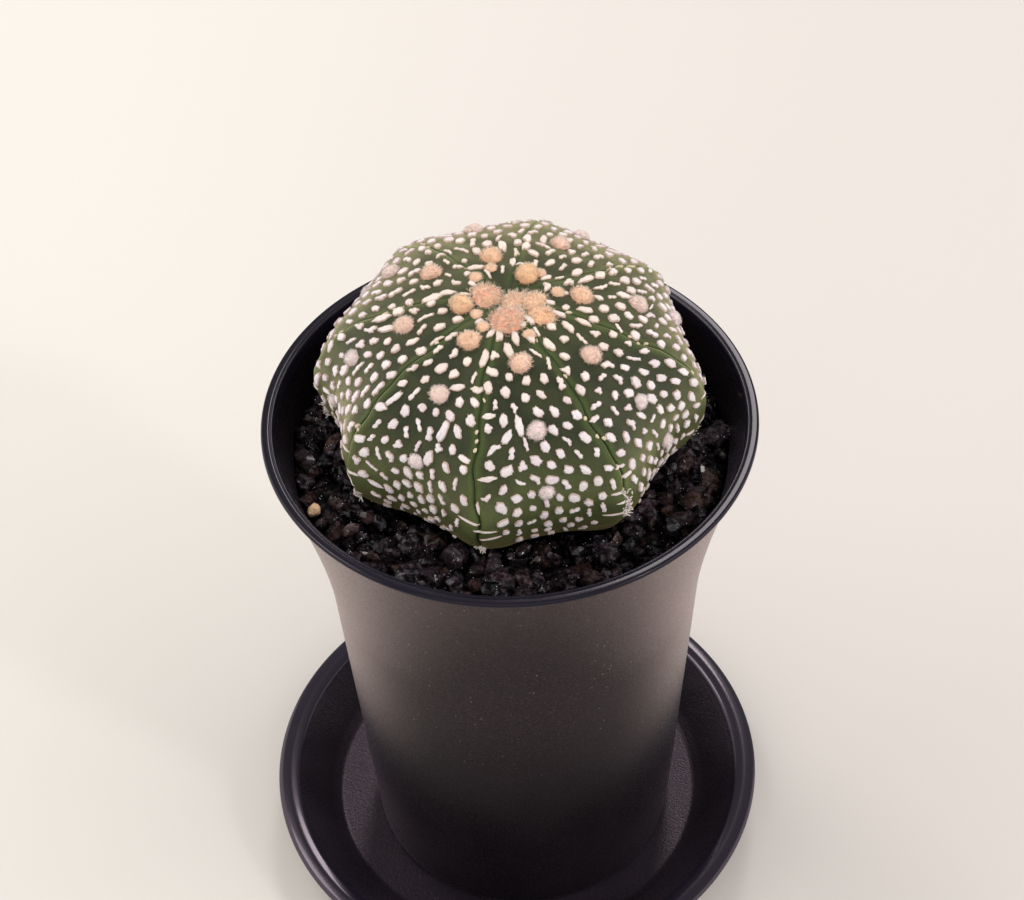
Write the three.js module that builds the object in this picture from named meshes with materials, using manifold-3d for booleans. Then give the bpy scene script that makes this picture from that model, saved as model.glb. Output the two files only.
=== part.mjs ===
// Potted star cactus: a ribbed globe cactus in a deep flared pot of plastic, standing in its saucer.
// Millimetres, +Z up. The origin is the centre of the saucer's underside.
import * as THREE from "three";
import { mergeVertices } from "three/addons/utils/BufferGeometryUtils.js";
import { ParametricGeometry } from "three/addons/geometries/ParametricGeometry.js";
import Module from "manifold-3d";

const wasm = await Module();
wasm.setup();

// ---- Driving dimensions ----
const GAP = 0.3; // clearance kept between pieces that touch
const SIDES = 64; // facets round the pot and the saucer

const SAUCER = {
  edgeRadius: 59.8, // widest point of the rolled lip
  edgeHeight: 12.6,
  lipWidth: 6.2,
  lipRise: 0.8, // from the widest point up to the crest of the lip
  floorRadius: 44.5,
  floorHeight: 4,
  footRadius: 43.4, // the ring it stands on
  footWidth: 4,
  footHeight: 1.4,
  wall: 2.4,
};

const POT = {
  offsetX: 1.6, // the pot stands a little off the saucer's centre
  edgeRadius: 52.5, // widest point of the rolled rim
  edgeHeight: 136.9,
  bodyTopRadius: 51.4, // outer wall, just under the rim
  baseRadius: 36.3,
  waistGrowth: 0.0605, // radius gained for each millimetre up the straight wall
  flareHeight: 48, // how far below the rim the wall starts to flare
  flarePower: 1.7,
  wall: 1.7,
  floor: 2.2,
  footHeight: 1.5,
  footWidth: 2.6,
  notchWidth: 9, // gaps in the foot ring that let water out
  drainRadius: 3.4,
  drainRing: 22,
  drainCount: 8,
  centreDrainRadius: 5,
};

const FILL = {
  stonesTop: 28, // coarse drainage stones
  soilTop: 119.6,
  gravelTop: 127.6, // black top dressing, mean height
  gravelLump: 1.3,
  corner: 1.8, // rounding at the foot of each fill
};

const CACTUS = {
  offsetX: 0.6, // from the pot's axis
  offsetY: 3,
  beltHeight: 143.9, // the widest belt of the body
  beltRadius: 38.6, // its mean radius
  crownRise: 24.6,
  crownPower: 2.3, // 2 is an ellipse, more is flatter on top
  bellyDrop: 26.7,
  neckAngle: 148, // degrees from the crown where the body turns into the root
  rootLength: 46,
  rootTipRadius: 1.5,
  crownDip: 1.5,
  dipRadius: 6,
  cornering: 0.05, // how far the belt stands out at the grooves and in between them, over its radius
  roundedness: 0.15, // flattens the ribs' middles, so that the belt is nearly eight-sided
  creaseDepth: 1.1, // of the groove itself
  creaseWidth: 1.3,
};
const NECK_RADIUS = CACTUS.beltRadius * Math.sin(THREE.MathUtils.degToRad(CACTUS.neckAngle));
const NECK_HEIGHT =
  CACTUS.beltHeight + CACTUS.bellyDrop * Math.cos(THREE.MathUtils.degToRad(CACTUS.neckAngle));

// Rows and columns of the body's grid: rings down the crown, the belly and the root, steps across a rib.
const CROWN_RINGS = 12;
const BELLY_RINGS = 8;
const ROOT_RINGS = 5;
const RINGS = CROWN_RINGS + BELLY_RINGS + ROOT_RINGS;
// Where the grid has its columns across a rib, from one groove to the next: close by the creases.
const COLUMNS = [0, 0.07, 0.2, 0.35, 0.5, 0.65, 0.8, 0.93];

// Each rib runs from its own groove to the next one, anticlockwise. The groove's azimuth in degrees
// shifts a little from crown to belt. The areoles follow a line down the rib, given as a fraction of
// the way across it, and "wool" lists them as distances from the crown's centre along that line.
const RIBS = [
  { crown: -105, belt: -101, line: 0.5, wool: [18.5, 32.5, 45.5, 58.5] },
  { crown: -68, belt: -57, line: 0.5, wool: [22.5, 36, 49, 62] },
  { crown: -28, belt: -11, line: 0.48, wool: [15, 27.5, 38.5, 51] },
  { crown: 19, belt: 38, line: 0.6, wool: [7.4, 21.5, 32.5, 45.5, 58.5] },
  { crown: 78, belt: 78, line: 0.5, wool: [13, 28, 41, 54] },
  { crown: 133, belt: 123, line: 0.4, wool: [18, 29.5, 43, 56] },
  { crown: 180, belt: 176, line: 0.35, wool: [9.8, 22, 35, 48, 61] },
  { crown: 220, belt: 214, line: 0.5, wool: [14.5, 27.5, 41.5, 54.5] },
];

// The youngest areoles have matted together over the crown. "around" counts ribs, as above.
const CROWN_CLUMPS = [
  { around: 0.35, along: 7.4, radius: 4.2 },
  { around: 1.6, along: 9, radius: 3 },
  { around: 2.2, along: 5.2, radius: 3.1 },
  { around: 1.9, along: 1.6, radius: 3.8 },
  { around: 5.8, along: 4.4, radius: 3.7 },
];
const CROWN_SINK = 1; // how far the clumps are let down before they are trimmed

const WOOL = {
  youngRadius: 2.75, // of the tuft nearest the crown
  oldRadius: 1.5, // of the last tuft, by the gravel
  rise: 0.85, // a tuft's height over its radius
  youngAlong: 8,
  oldAlong: 62,
  sides: 8,
};

// ---- Finishes ----
const finish = (color, roughness) => new THREE.MeshStandardMaterial({ color, roughness, metalness: 0 });
const SATIN_BLACK = finish(0x2b282c, 0.45);
const MATT_BLACK = finish(0x353136, 0.6);
const PALE_STONE = finish(0xb9ad97, 0.95);
const BROWN_SOIL = finish(0x4a3627, 0.98);
const BLACK_LAVA = finish(0x1d1c20, 0.7);
const GREEN_SKIN = finish(0x3d4d2c, 0.6);
const PALE_WOOL = finish(0xe6c9a8, 1);

// ---- Helpers ----
const point = (radius, height) => new THREE.Vector2(radius, height);
const mix = THREE.MathUtils.lerp;

// A closed geometry with its shared corners merged, as a solid that can be joined and cut.
function toSolid(geometry) {
  const bare = new THREE.BufferGeometry();
  bare.setAttribute("position", geometry.getAttribute("position"));
  bare.setIndex(geometry.getIndex());
  const merged = mergeVertices(bare, 1e-4);
  const index = merged.getIndex().array;
  const corners = [];
  for (let i = 0; i < index.length; i += 3) {
    const [a, b, c] = index.subarray(i, i + 3);
    if (a !== b && b !== c && c !== a) corners.push(a, b, c);
  }
  const vertProperties = merged.getAttribute("position").array;
  return new wasm.Manifold(
    new wasm.Mesh({ numProp: 3, vertProperties, triVerts: new Uint32Array(corners) }),
  );
}

// A solid's triangles, back as a geometry.
function toGeometry(solid) {
  const { vertProperties, triVerts } = solid.getMesh();
  const geometry = new THREE.BufferGeometry();
  geometry.setAttribute("position", new THREE.BufferAttribute(vertProperties, 3));
  geometry.setIndex(new THREE.BufferAttribute(triVerts, 1));
  const faceted = geometry.toNonIndexed();
  faceted.computeVertexNormals();
  return faceted;
}

// A profile of (radius, height) points turned about the Z axis.
function turned(profile, sides = SIDES) {
  return new THREE.LatheGeometry(profile, sides).rotateX(Math.PI / 2);
}

function upright(radius, low, high, x = 0, y = 0) {
  const geometry = new THREE.CylinderGeometry(radius, radius, high - low, 16);
  return toSolid(geometry.rotateX(Math.PI / 2).translate(x, y, (low + high) / 2));
}

function named(name, geometry, material) {
  const mesh = new THREE.Mesh(geometry, material);
  mesh.name = name;
  return mesh;
}

// ---- Saucer ----
function saucer() {
  const crest = SAUCER.edgeHeight + SAUCER.lipRise;
  const lipInner = SAUCER.edgeRadius - SAUCER.lipWidth;
  const footInner = SAUCER.footRadius - SAUCER.footWidth;
  const profile = [
    point(0, SAUCER.footHeight),
    point(footInner - 0.6, SAUCER.footHeight),
    point(footInner, 0),
    point(SAUCER.footRadius, 0),
    point(SAUCER.footRadius + 1.8, 1),
    point(lipInner + 0.6, SAUCER.edgeHeight - SAUCER.wall - 1.2),
    point(SAUCER.edgeRadius - 1, SAUCER.edgeHeight - 1.4),
    point(SAUCER.edgeRadius, SAUCER.edgeHeight),
    point(SAUCER.edgeRadius - 0.8, crest - 0.3),
    point(SAUCER.edgeRadius - SAUCER.lipWidth / 2, crest),
    point(lipInner + 1, crest - 0.4),
    point(lipInner, crest - 1.2),
    point(SAUCER.floorRadius + 2.1, SAUCER.floorHeight + 1.4),
    point(SAUCER.floorRadius, SAUCER.floorHeight),
    point(0, SAUCER.floorHeight),
  ];
  return named("saucer", turned(profile), SATIN_BLACK);
}

// ---- Pot ----
const POT_FOOT_Z = SAUCER.floorHeight + GAP;
const POT_BASE_Z = POT_FOOT_Z + POT.footHeight;
const POT_FLOOR_Z = POT_BASE_Z + POT.floor;
const WALL_TOP_Z = POT.edgeHeight - 1.4;
// Heights where the wall's outline has a point: few on the straight wall, closer on the flare.
const WALL_LEVELS = [50, 86, 96, 106, 115, 122, 129];

// Outer radius of the pot's wall: a straight taper, plus a flare that grows as a power of height.
function potRadius(z) {
  const taper = POT.baseRadius + POT.waistGrowth * (z - POT_FOOT_Z);
  const taperTop = POT.baseRadius + POT.waistGrowth * (POT.edgeHeight - POT_FOOT_Z);
  const into = Math.max(0, 1 - (POT.edgeHeight - z) / POT.flareHeight);
  return taper + (POT.bodyTopRadius - taperTop) * into ** POT.flarePower;
}

const boreRadius = (z) => potRadius(z) - POT.wall;

function potShell() {
  const edge = POT.edgeRadius;
  const top = POT.edgeHeight;
  const footInner = POT.baseRadius - POT.footWidth;
  const lipInner = boreRadius(top);
  const profile = [
    point(0, POT_BASE_Z),
    point(footInner - 0.4, POT_BASE_Z),
    point(footInner, POT_FOOT_Z),
    point(POT.baseRadius - 0.3, POT_FOOT_Z),
    point(potRadius(POT_FOOT_Z + 0.7), POT_FOOT_Z + 0.7),
    ...WALL_LEVELS.map((z) => point(potRadius(z), z)),
    point(potRadius(WALL_TOP_Z), WALL_TOP_Z),
    point(edge - 0.2, top - 0.6),
    point(edge, top),
    point(edge - 0.25, top + 0.45),
    point(edge - 0.7, top + 0.6),
    point(lipInner + 1.2, top + 0.25),
    point(lipInner + 0.5, top + 0.4),
    point(lipInner, top - 0.1),
    ...WALL_LEVELS.toReversed().map((z) => point(boreRadius(z), z)),
    point(boreRadius(POT_FLOOR_Z + 1.5), POT_FLOOR_Z + 1.5),
    point(boreRadius(POT_FLOOR_Z) - 1.5, POT_FLOOR_Z),
    point(0, POT_FLOOR_Z),
  ];
  return toSolid(turned(profile));
}

// Round drains through the floor, one in the middle and a ring of smaller ones.
function drains() {
  const low = POT_FOOT_Z - 1;
  const high = POT_FLOOR_Z + 1;
  let holes = upright(POT.centreDrainRadius, low, high);
  for (let i = 0; i < POT.drainCount; i += 1) {
    const angle = (2 * Math.PI * i) / POT.drainCount;
    const x = POT.drainRing * Math.cos(angle);
    const y = POT.drainRing * Math.sin(angle);
    holes = holes.add(upright(POT.drainRadius, low, high, x, y));
  }
  return holes;
}

// Two bars, crossed, that leave four gaps in the foot ring.
function footNotches() {
  const long = 2 * POT.baseRadius + 4;
  const depth = POT.footHeight + 1;
  const z = POT_BASE_Z - depth / 2;
  const bar = new THREE.BoxGeometry(long, POT.notchWidth, depth).translate(0, 0, z);
  const cross = bar.clone().rotateZ(Math.PI / 2);
  return toSolid(bar).add(toSolid(cross));
}

function pot() {
  const shell = potShell().subtract(drains()).subtract(footNotches());
  return named("pot", toGeometry(shell), MATT_BLACK);
}

// ---- Cactus ----
// Radius and height of the body at a ring, counted down from the crown: a flattened dome, a rounded
// belly below the widest belt, then a taproot that narrows to its tip. "grow" moves it all outwards.
function bodyProfile(ring, grow) {
  if (ring <= CROWN_RINGS) {
    const angle = (ring / CROWN_RINGS) * (Math.PI / 2);
    const power = 2 / CACTUS.crownPower;
    const radius = (CACTUS.beltRadius + grow) * Math.sin(angle) ** power;
    const rise = (CACTUS.crownRise + grow) * Math.max(0, Math.cos(angle)) ** power;
    const dip = CACTUS.crownDip * Math.exp(-((radius / CACTUS.dipRadius) ** 2));
    return { radius, height: CACTUS.beltHeight + rise - dip };
  }
  if (ring <= CROWN_RINGS + BELLY_RINGS) {
    const degrees = mix(90, CACTUS.neckAngle, (ring - CROWN_RINGS) / BELLY_RINGS);
    const angle = THREE.MathUtils.degToRad(degrees);
    return {
      radius: (CACTUS.beltRadius + grow) * Math.sin(angle),
      height: CACTUS.beltHeight + (CACTUS.bellyDrop + grow) * Math.cos(angle),
    };
  }
  const down = (ring - CROWN_RINGS - BELLY_RINGS) / ROOT_RINGS;
  const tip = CACTUS.rootTipRadius + grow;
  const radius = tip + (NECK_RADIUS - CACTUS.rootTipRadius) * (1 - down) ** 2;
  return { radius, height: NECK_HEIGHT - (CACTUS.rootLength + grow) * down - grow };
}

// A point of the body. "around" counts ribs round it, its fraction running from one groove to the next.
function bodyPoint(around, ring, grow, target) {
  const rib = Math.floor(around);
  const here = RIBS[rib % RIBS.length];
  const next = RIBS[(rib + 1) % RIBS.length];
  const lap = next.crown < here.crown ? 360 : 0;
  const across = around - rib;
  const down = Math.min(1, ring / CROWN_RINGS);
  const from = THREE.MathUtils.degToRad(mix(here.crown, here.belt, down));
  const to = THREE.MathUtils.degToRad(mix(next.crown, next.belt, down) + lap);
  const azimuth = mix(from, to, across);
  const { radius, height } = bodyProfile(ring, grow);
  // Round at the crown, eight-sided at the belt with its corners on the grooves, round at the root.
  const cornered = Math.min(1, ring / CROWN_RINGS, Math.max(0, RINGS - ring) / ROOT_RINGS);
  const turn = 2 * Math.PI * across;
  const stand = Math.cos(turn) + CACTUS.roundedness * Math.cos(2 * turn);
  const toGroove = Math.min(across, 1 - across) * (to - from) * radius;
  const crease = CACTUS.creaseDepth * Math.exp(-((toGroove / CACTUS.creaseWidth) ** 2));
  const inset = crease * Math.min(1, radius / CACTUS.beltRadius) * cornered ** 0.5;
  const out = radius * (1 + CACTUS.cornering * cornered * stand) - inset;
  return target.set(out * Math.cos(azimuth), out * Math.sin(azimuth), height);
}

// The whole body and root as one closed solid, standing in the pot's own frame.
function bodySolid(grow) {
  const last = bodyProfile(RINGS, grow);
  const skin = new ParametricGeometry(
    (around, down, target) => {
      // Taken clockwise, so that the faces point outwards. The last row gathers at the root's tip.
      const column = Math.round((1 - around) * RIBS.length * COLUMNS.length);
      const place = Math.floor(column / COLUMNS.length) + COLUMNS[column % COLUMNS.length];
      bodyPoint(place, Math.min(down * (RINGS + 1), RINGS), grow, target);
      if (down === 1) target.set(0, 0, last.height - 1);
    },
    RIBS.length * COLUMNS.length,
    RINGS + 1,
  );
  const solid = toSolid(skin);
  return solid.translate([CACTUS.offsetX, CACTUS.offsetY, 0]);
}

// ---- What fills the pot ----
// A round fill between two heights that follows the pot's bore.
function fillSolid(low, high, radialSteps = 1, lump = 0) {
  const clear = (z) => boreRadius(z) - GAP;
  const shoulder = low + FILL.corner;
  const between = WALL_LEVELS.filter((z) => z > shoulder + 1 && z < high - 1);
  const profile = [point(0, low), point(clear(low) - FILL.corner, low), point(clear(shoulder), shoulder)];
  profile.push(...between.map((z) => point(clear(z), z)));
  for (let i = 0; i <= radialSteps; i += 1) {
    profile.push(point(clear(high - lump) * (1 - i / radialSteps), high));
  }
  const geometry = turned(profile);
  const place = geometry.getAttribute("position");
  for (let i = 0; i < place.count; i += 1) {
    const [x, y, z] = [place.getX(i), place.getY(i), place.getZ(i)];
    if (z > high - 0.01) place.setZ(i, z + lump * lumpAt(x, y));
  }
  return toSolid(geometry);
}

// Heaps and hollows of loose grains, between -1 and 1.
function lumpAt(x, y) {
  return 0.5 * (Math.sin(0.55 * x + 0.4) * Math.cos(0.5 * y) + Math.sin(0.31 * x - 0.37 * y));
}

function drainageStones() {
  const solid = fillSolid(POT_FLOOR_Z + GAP, FILL.stonesTop);
  return named("drainage_stones", toGeometry(solid), PALE_STONE);
}

function pottingSoil(hollow) {
  const solid = fillSolid(FILL.stonesTop + GAP, FILL.soilTop).subtract(hollow);
  return named("potting_soil", toGeometry(solid), BROWN_SOIL);
}

function gravel(hollow) {
  const solid = fillSolid(FILL.soilTop + GAP, FILL.gravelTop, 14, FILL.gravelLump).subtract(hollow);
  return named("gravel_top_dressing", toGeometry(solid), BLACK_LAVA);
}

// ---- Wool ----
// Walks down the skin until it has gone "along" millimetres from the crown's centre.
function seatOnSkin(around, along) {
  const here = bodyPoint(around, 0, 0, new THREE.Vector3());
  const step = 0.01;
  let gone = 0;
  let ring = 0;
  const next = new THREE.Vector3();
  while (gone < along) {
    ring += step;
    bodyPoint(around, ring, 0, next);
    gone += next.distanceTo(here);
    here.copy(next);
  }
  const down = bodyPoint(around, ring + 0.1, 0, new THREE.Vector3()).sub(here);
  const side = bodyPoint(around + 0.02, ring, 0, new THREE.Vector3()).sub(here);
  return { place: here.clone(), outward: down.cross(side).normalize() };
}

// A low dome, a little pulled in at its foot, of unit radius and unit height.
const DOME = [point(0, 0), point(0.82, 0), point(1, 0.35), point(0.78, 0.78), point(0.36, 0.97), point(0, 1)];

function tuft(name, around, along, radius) {
  const { place, outward } = seatOnSkin(around, along);
  const mesh = named(name, turned(DOME, WOOL.sides), PALE_WOOL);
  mesh.scale.set(radius, radius, radius * WOOL.rise);
  mesh.position.copy(place).addScaledVector(outward, GAP);
  mesh.quaternion.setFromUnitVectors(new THREE.Vector3(0, 0, 1), outward);
  return mesh;
}

// The matted clumps as one solid, trimmed underneath to lie just clear of the skin.
function crownWool(hollow) {
  let matted = null;
  for (const { around, along, radius } of CROWN_CLUMPS) {
    const clump = tuft("clump", around, along, radius);
    clump.updateMatrix();
    const solid = toSolid(clump.geometry.applyMatrix4(clump.matrix));
    matted = matted ? matted.add(solid) : solid;
  }
  const seated = matted.translate([CACTUS.offsetX, CACTUS.offsetY, -CROWN_SINK]).subtract(hollow);
  return named("crown_wool", toGeometry(seated), PALE_WOOL);
}

function ribWool({ line, wool }, rib) {
  return wool.map((along, i) => {
    const age = THREE.MathUtils.inverseLerp(WOOL.youngAlong, WOOL.oldAlong, along);
    const radius = mix(WOOL.youngRadius, WOOL.oldRadius, age);
    return tuft(`rib${rib + 1}_areole${i + 1}`, rib + line, along, radius);
  });
}

// ---- Assembly ----
const hollow = bodySolid(GAP);
const potted = new THREE.Group();
potted.position.x = POT.offsetX;
potted.add(pot(), drainageStones(), pottingSoil(hollow), gravel(hollow));
potted.add(named("cactus_body", toGeometry(bodySolid(0)), GREEN_SKIN), crownWool(hollow));

const tufts = new THREE.Group();
tufts.position.set(CACTUS.offsetX, CACTUS.offsetY, 0);
tufts.add(...RIBS.flatMap(ribWool));
potted.add(tufts);

const group = new THREE.Group();
group.add(saucer(), potted);

export default group;
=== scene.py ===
import logging
import math
from collections.abc import Callable, Sequence
from dataclasses import dataclass, field
from enum import Enum

import bpy
import numpy as np
from mathutils import Matrix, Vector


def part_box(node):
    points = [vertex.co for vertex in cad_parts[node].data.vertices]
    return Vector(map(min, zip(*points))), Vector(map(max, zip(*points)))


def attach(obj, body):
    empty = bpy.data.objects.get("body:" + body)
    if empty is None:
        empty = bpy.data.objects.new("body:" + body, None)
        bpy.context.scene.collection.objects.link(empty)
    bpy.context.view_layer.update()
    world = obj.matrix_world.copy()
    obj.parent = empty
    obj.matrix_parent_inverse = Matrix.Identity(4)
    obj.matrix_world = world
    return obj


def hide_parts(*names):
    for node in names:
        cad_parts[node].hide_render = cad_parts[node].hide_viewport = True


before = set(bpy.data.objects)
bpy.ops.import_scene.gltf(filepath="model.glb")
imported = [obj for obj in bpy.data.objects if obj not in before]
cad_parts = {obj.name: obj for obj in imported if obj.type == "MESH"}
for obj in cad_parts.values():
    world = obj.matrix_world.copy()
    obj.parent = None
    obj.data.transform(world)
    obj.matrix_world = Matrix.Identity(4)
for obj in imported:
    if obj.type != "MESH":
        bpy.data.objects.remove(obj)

LOG = logging.getLogger("star_cactus")
MM = 0.001
TAU = 2 * math.pi
WAVES = 7
Array = np.ndarray
Colour = tuple[float, float, float]


# ---- Small helpers ----------------------------------------------------------------------------


def blend(low: float | Array, high: float | Array, share: float | Array) -> float | Array:
    """Goes from low to high as share goes from 0 to 1."""
    return low + (high - low) * share


def smooth_step(low: float, high: float, value: Array) -> Array:
    """0 up to low, 1 from high on, and a smooth S between them: t squared times (3 - 2t)."""
    t = np.clip((value - low) / (high - low), 0, 1)
    return t * t * (3 - 2 * t)


def unit(vectors: Array) -> Array:
    """The same directions with a length of one."""
    return vectors / np.maximum(np.linalg.norm(vectors, axis=-1, keepdims=True), 1e-12)


def across_of(directions: Array) -> tuple[Array, Array]:
    """Two directions square to each given one and to each other.

    Args:
        directions: unit vectors, in the last axis.

    Returns:
        The two families of unit vectors, by cross products with the axis that leans away most.
    """
    leaning = np.abs(directions[..., 2:3]) > 0.9
    helper = np.where(leaning, np.array([1.0, 0, 0]), np.array([0, 0, 1.0]))
    first = unit(np.cross(directions, helper))
    return first, np.cross(directions, first)


def around_of(first: Array, second: Array, turn: Array) -> Array:
    """The direction at a turn in the plane of two directions, counted from the first."""
    return first * np.cos(turn) + second * np.sin(turn)


def linear(red: int, green: int, blue: int) -> Colour:
    """A colour given as on an ordinary screen, 0 to 255, as the linear light that shaders take."""
    shares = (c / 255 for c in (red, green, blue))
    return tuple(c / 12.92 if c < 0.04045 else ((c + 0.055) / 1.055) ** 2.4 for c in shares)


def corners_of(node: str) -> tuple[Array, Array]:
    """A node's lowest and highest corner, in millimetres."""
    low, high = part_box(node)
    return np.array(low) / MM, np.array(high) / MM


def ripples(points: Array, seed: int, wave: float) -> Array:
    """A soft uneven field, about -1 to 1: the mean of plane sine waves in random directions.

    Args:
        points: places in millimetres, in the last axis.
        seed: of the directions and phases.
        wave: the mean wavelength in millimetres.

    Returns:
        One value for each place.
    """
    draw = np.random.default_rng(seed)
    ways = unit(draw.normal(size=(WAVES, 3))) * (TAU / (wave * draw.uniform(0.7, 1.5, (WAVES, 1))))
    phases = draw.uniform(0, TAU, WAVES)
    return np.sin(points @ ways.T + phases).sum(-1) / math.sqrt(WAVES)


# ---- Surfaces ---------------------------------------------------------------------------------


@dataclass
class Surface:
    """A mesh in the making: points in millimetres, blocks of faces, and named values at the points."""

    points: Array
    faces: list[Array]
    marks: dict[str, Array] = field(default_factory=dict)

    @staticmethod
    def joined(parts: Sequence["Surface"]) -> "Surface":
        """All the parts as one surface, each with the same marks."""
        starts = np.cumsum([0] + [len(p.points) for p in parts])
        faces = [f + start for p, start in zip(parts, starts) for f in p.faces]
        marks = {k: np.concatenate([p.marks[k] for p in parts]) for k in parts[0].marks}
        return Surface(np.concatenate([p.points for p in parts]), faces, marks)

    @staticmethod
    def repeated(points: Array, faces: list[Array], marks: dict[str, Array]) -> "Surface":
        """Many copies of one net of faces.

        Args:
            points: (copies, points of one copy, 3).
            faces: the net of one copy, in blocks.
            marks: values as (copies, points of one copy).

        Returns:
            The copies as one surface.
        """
        copies, size, _ = points.shape
        shift = (np.arange(copies) * size)[:, None, None]
        blocks = [(f[None] + shift).reshape(-1, f.shape[1]) for f in faces]
        return Surface(points.reshape(-1, 3), blocks, {k: v.reshape(-1) for k, v in marks.items()})

    @staticmethod
    def capped(grid: Array, below: Array, above: Array, marks: dict[str, Array] | None = None) -> "Surface":
        """Rings of points from low to high, closed by a point under them and one over them.

        Args:
            grid: (rings, points in a ring, 3).
            below: the lower point.
            above: the upper point.
            marks: values for the rings' points, then the lower and the upper point.

        Returns:
            The closed surface.
        """
        rings, sides, _ = grid.shape
        count = rings * sides
        ends = fan(count, np.arange(sides), False), fan(count + 1, np.arange(count - sides, count), True)
        points = np.concatenate([grid.reshape(-1, 3), [below, above]])
        return Surface(points, [net(rings, sides), *ends], marks or {})

    def made(self, name: str, material: bpy.types.Material, smooth: bool = True) -> bpy.types.Object:
        """The finished object, which rides on the root body.

        Args:
            name: of the piece.
            material: its finish.
            smooth: whether its faces shade as one curved skin.

        Returns:
            An object at the origin whose mesh holds its place, in metres.
        """
        mesh = bpy.data.meshes.new(name)
        corners = np.concatenate([f.ravel() for f in self.faces]).astype(np.int32)
        sizes = np.concatenate([np.full(len(f), f.shape[1]) for f in self.faces])
        starts = np.concatenate([[0], np.cumsum(sizes)[:-1]]).astype(np.int32)
        mesh.vertices.add(len(self.points))
        mesh.vertices.foreach_set("co", (self.points * MM).astype(np.float32).ravel())
        mesh.loops.add(len(corners))
        mesh.loops.foreach_set("vertex_index", corners)
        mesh.polygons.add(len(sizes))
        mesh.polygons.foreach_set("loop_start", starts)
        mesh.polygons.foreach_set("use_smooth", np.full(len(sizes), smooth))
        mesh.update(calc_edges=True)
        mesh.validate()
        for key, values in self.marks.items():
            mark = mesh.attributes.new(key, "FLOAT", "POINT")
            mark.data.foreach_set("value", values.astype(np.float32))
        mesh.materials.append(material)
        piece = bpy.data.objects.new(name, mesh)
        bpy.context.scene.collection.objects.link(piece)
        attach(piece, "root")
        triangles = int((sizes - 2).sum())
        LOG.info("%s: %d points, %d triangles", name, len(self.points), triangles)
        return piece


def net(rows: int, columns: int) -> Array:
    """Four-sided faces of a grid that is closed round its columns; they face away from the axis when
    the rows go up and the columns anticlockwise.

    Args:
        rows: rings of points.
        columns: points in a ring.

    Returns:
        (faces, 4) indices.
    """
    row, column = np.meshgrid(np.arange(rows - 1), np.arange(columns), indexing="ij")
    here, beside = row * columns + column, row * columns + (column + 1) % columns
    return np.stack([here, beside, beside + columns, here + columns], -1).reshape(-1, 4)


def fan(hub: int, ring: Array, outward: bool) -> Array:
    """Three-sided faces from one point to a closed ring of points.

    Args:
        hub: the point's index.
        ring: the ring's indices, anticlockwise seen from above.
        outward: whether they face up.

    Returns:
        (faces, 3) indices.
    """
    after = np.roll(ring, -1)
    pair = (ring, after) if outward else (after, ring)
    return np.stack([np.full(len(ring), hub), *pair], -1)


def eased(profile: Sequence[tuple[float, float]], cut: float, steps: int = 4) -> Array:
    """A profile with its corners rounded: each becomes a short quadratic Bezier curve that starts and
    ends "cut" away, or under half way to the next corner.

    Args:
        profile: radius and height of each corner.
        cut: how far a rounding reaches along the sides, in millimetres.
        steps: points on each rounding.

    Returns:
        (points, 2), with the two ends as they were.
    """
    line = np.array(profile, float)
    before, here, after = line[:-2], line[1:-1], line[2:]
    back, ahead = before - here, after - here
    reach_back = np.minimum(cut, 0.48 * np.linalg.norm(back, axis=1))[:, None]
    reach_ahead = np.minimum(cut, 0.48 * np.linalg.norm(ahead, axis=1))[:, None]
    start, end = here + unit(back) * reach_back, here + unit(ahead) * reach_ahead
    t = np.linspace(0, 1, steps)[None, :, None]
    curve = (1 - t) ** 2 * start[:, None] + 2 * t * (1 - t) * here[:, None] + t**2 * end[:, None]
    return np.concatenate([line[:1], curve.reshape(-1, 2), line[-1:]])


def lathe(profile: Array, centre: Array, sides: int) -> Surface:
    """A profile turned round an upright axis, closed at both ends by a point on the axis.

    Args:
        profile: radius and height, from the axis below, out and up, to the axis above.
        centre: the axis in x and y.
        sides: points in each ring.

    Returns:
        The closed surface, with each point at (radius cos a, radius sin a, height).
    """
    turn = np.arange(sides) * TAU / sides
    radius, height = profile[:, :1], profile[:, 1:]
    x, y = centre[0] + radius * np.cos(turn), centre[1] + radius * np.sin(turn)
    grid = np.stack([x, y, np.broadcast_to(height, x.shape)], -1)
    return Surface.capped(grid[1:-1], grid[0, 0], grid[-1, 0])


# ---- Shader expressions -----------------------------------------------------------------------


def sign(operation: str, swapped: bool = False) -> Callable[["Value", "Number"], "Value"]:
    """A method for a sign of arithmetic, which adds its Math node.

    Args:
        operation: of the Math node.
        swapped: whether the value itself stands second.

    Returns:
        The method.
    """

    def method(self: "Value", other: "Number") -> "Value":
        """The two values joined by the Math node."""
        return self.shader.math(operation, *((other, self) if swapped else (self, other)))

    return method


@dataclass(frozen=True)
class Value:
    """A shader socket on which the signs of arithmetic work."""

    shader: "Shader"
    socket: bpy.types.NodeSocket

    __add__ = __radd__ = sign("ADD")
    __sub__ = sign("SUBTRACT")
    __rsub__ = sign("SUBTRACT", swapped=True)
    __mul__ = __rmul__ = sign("MULTIPLY")
    __pow__ = sign("POWER")


Number = Value | float


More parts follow.
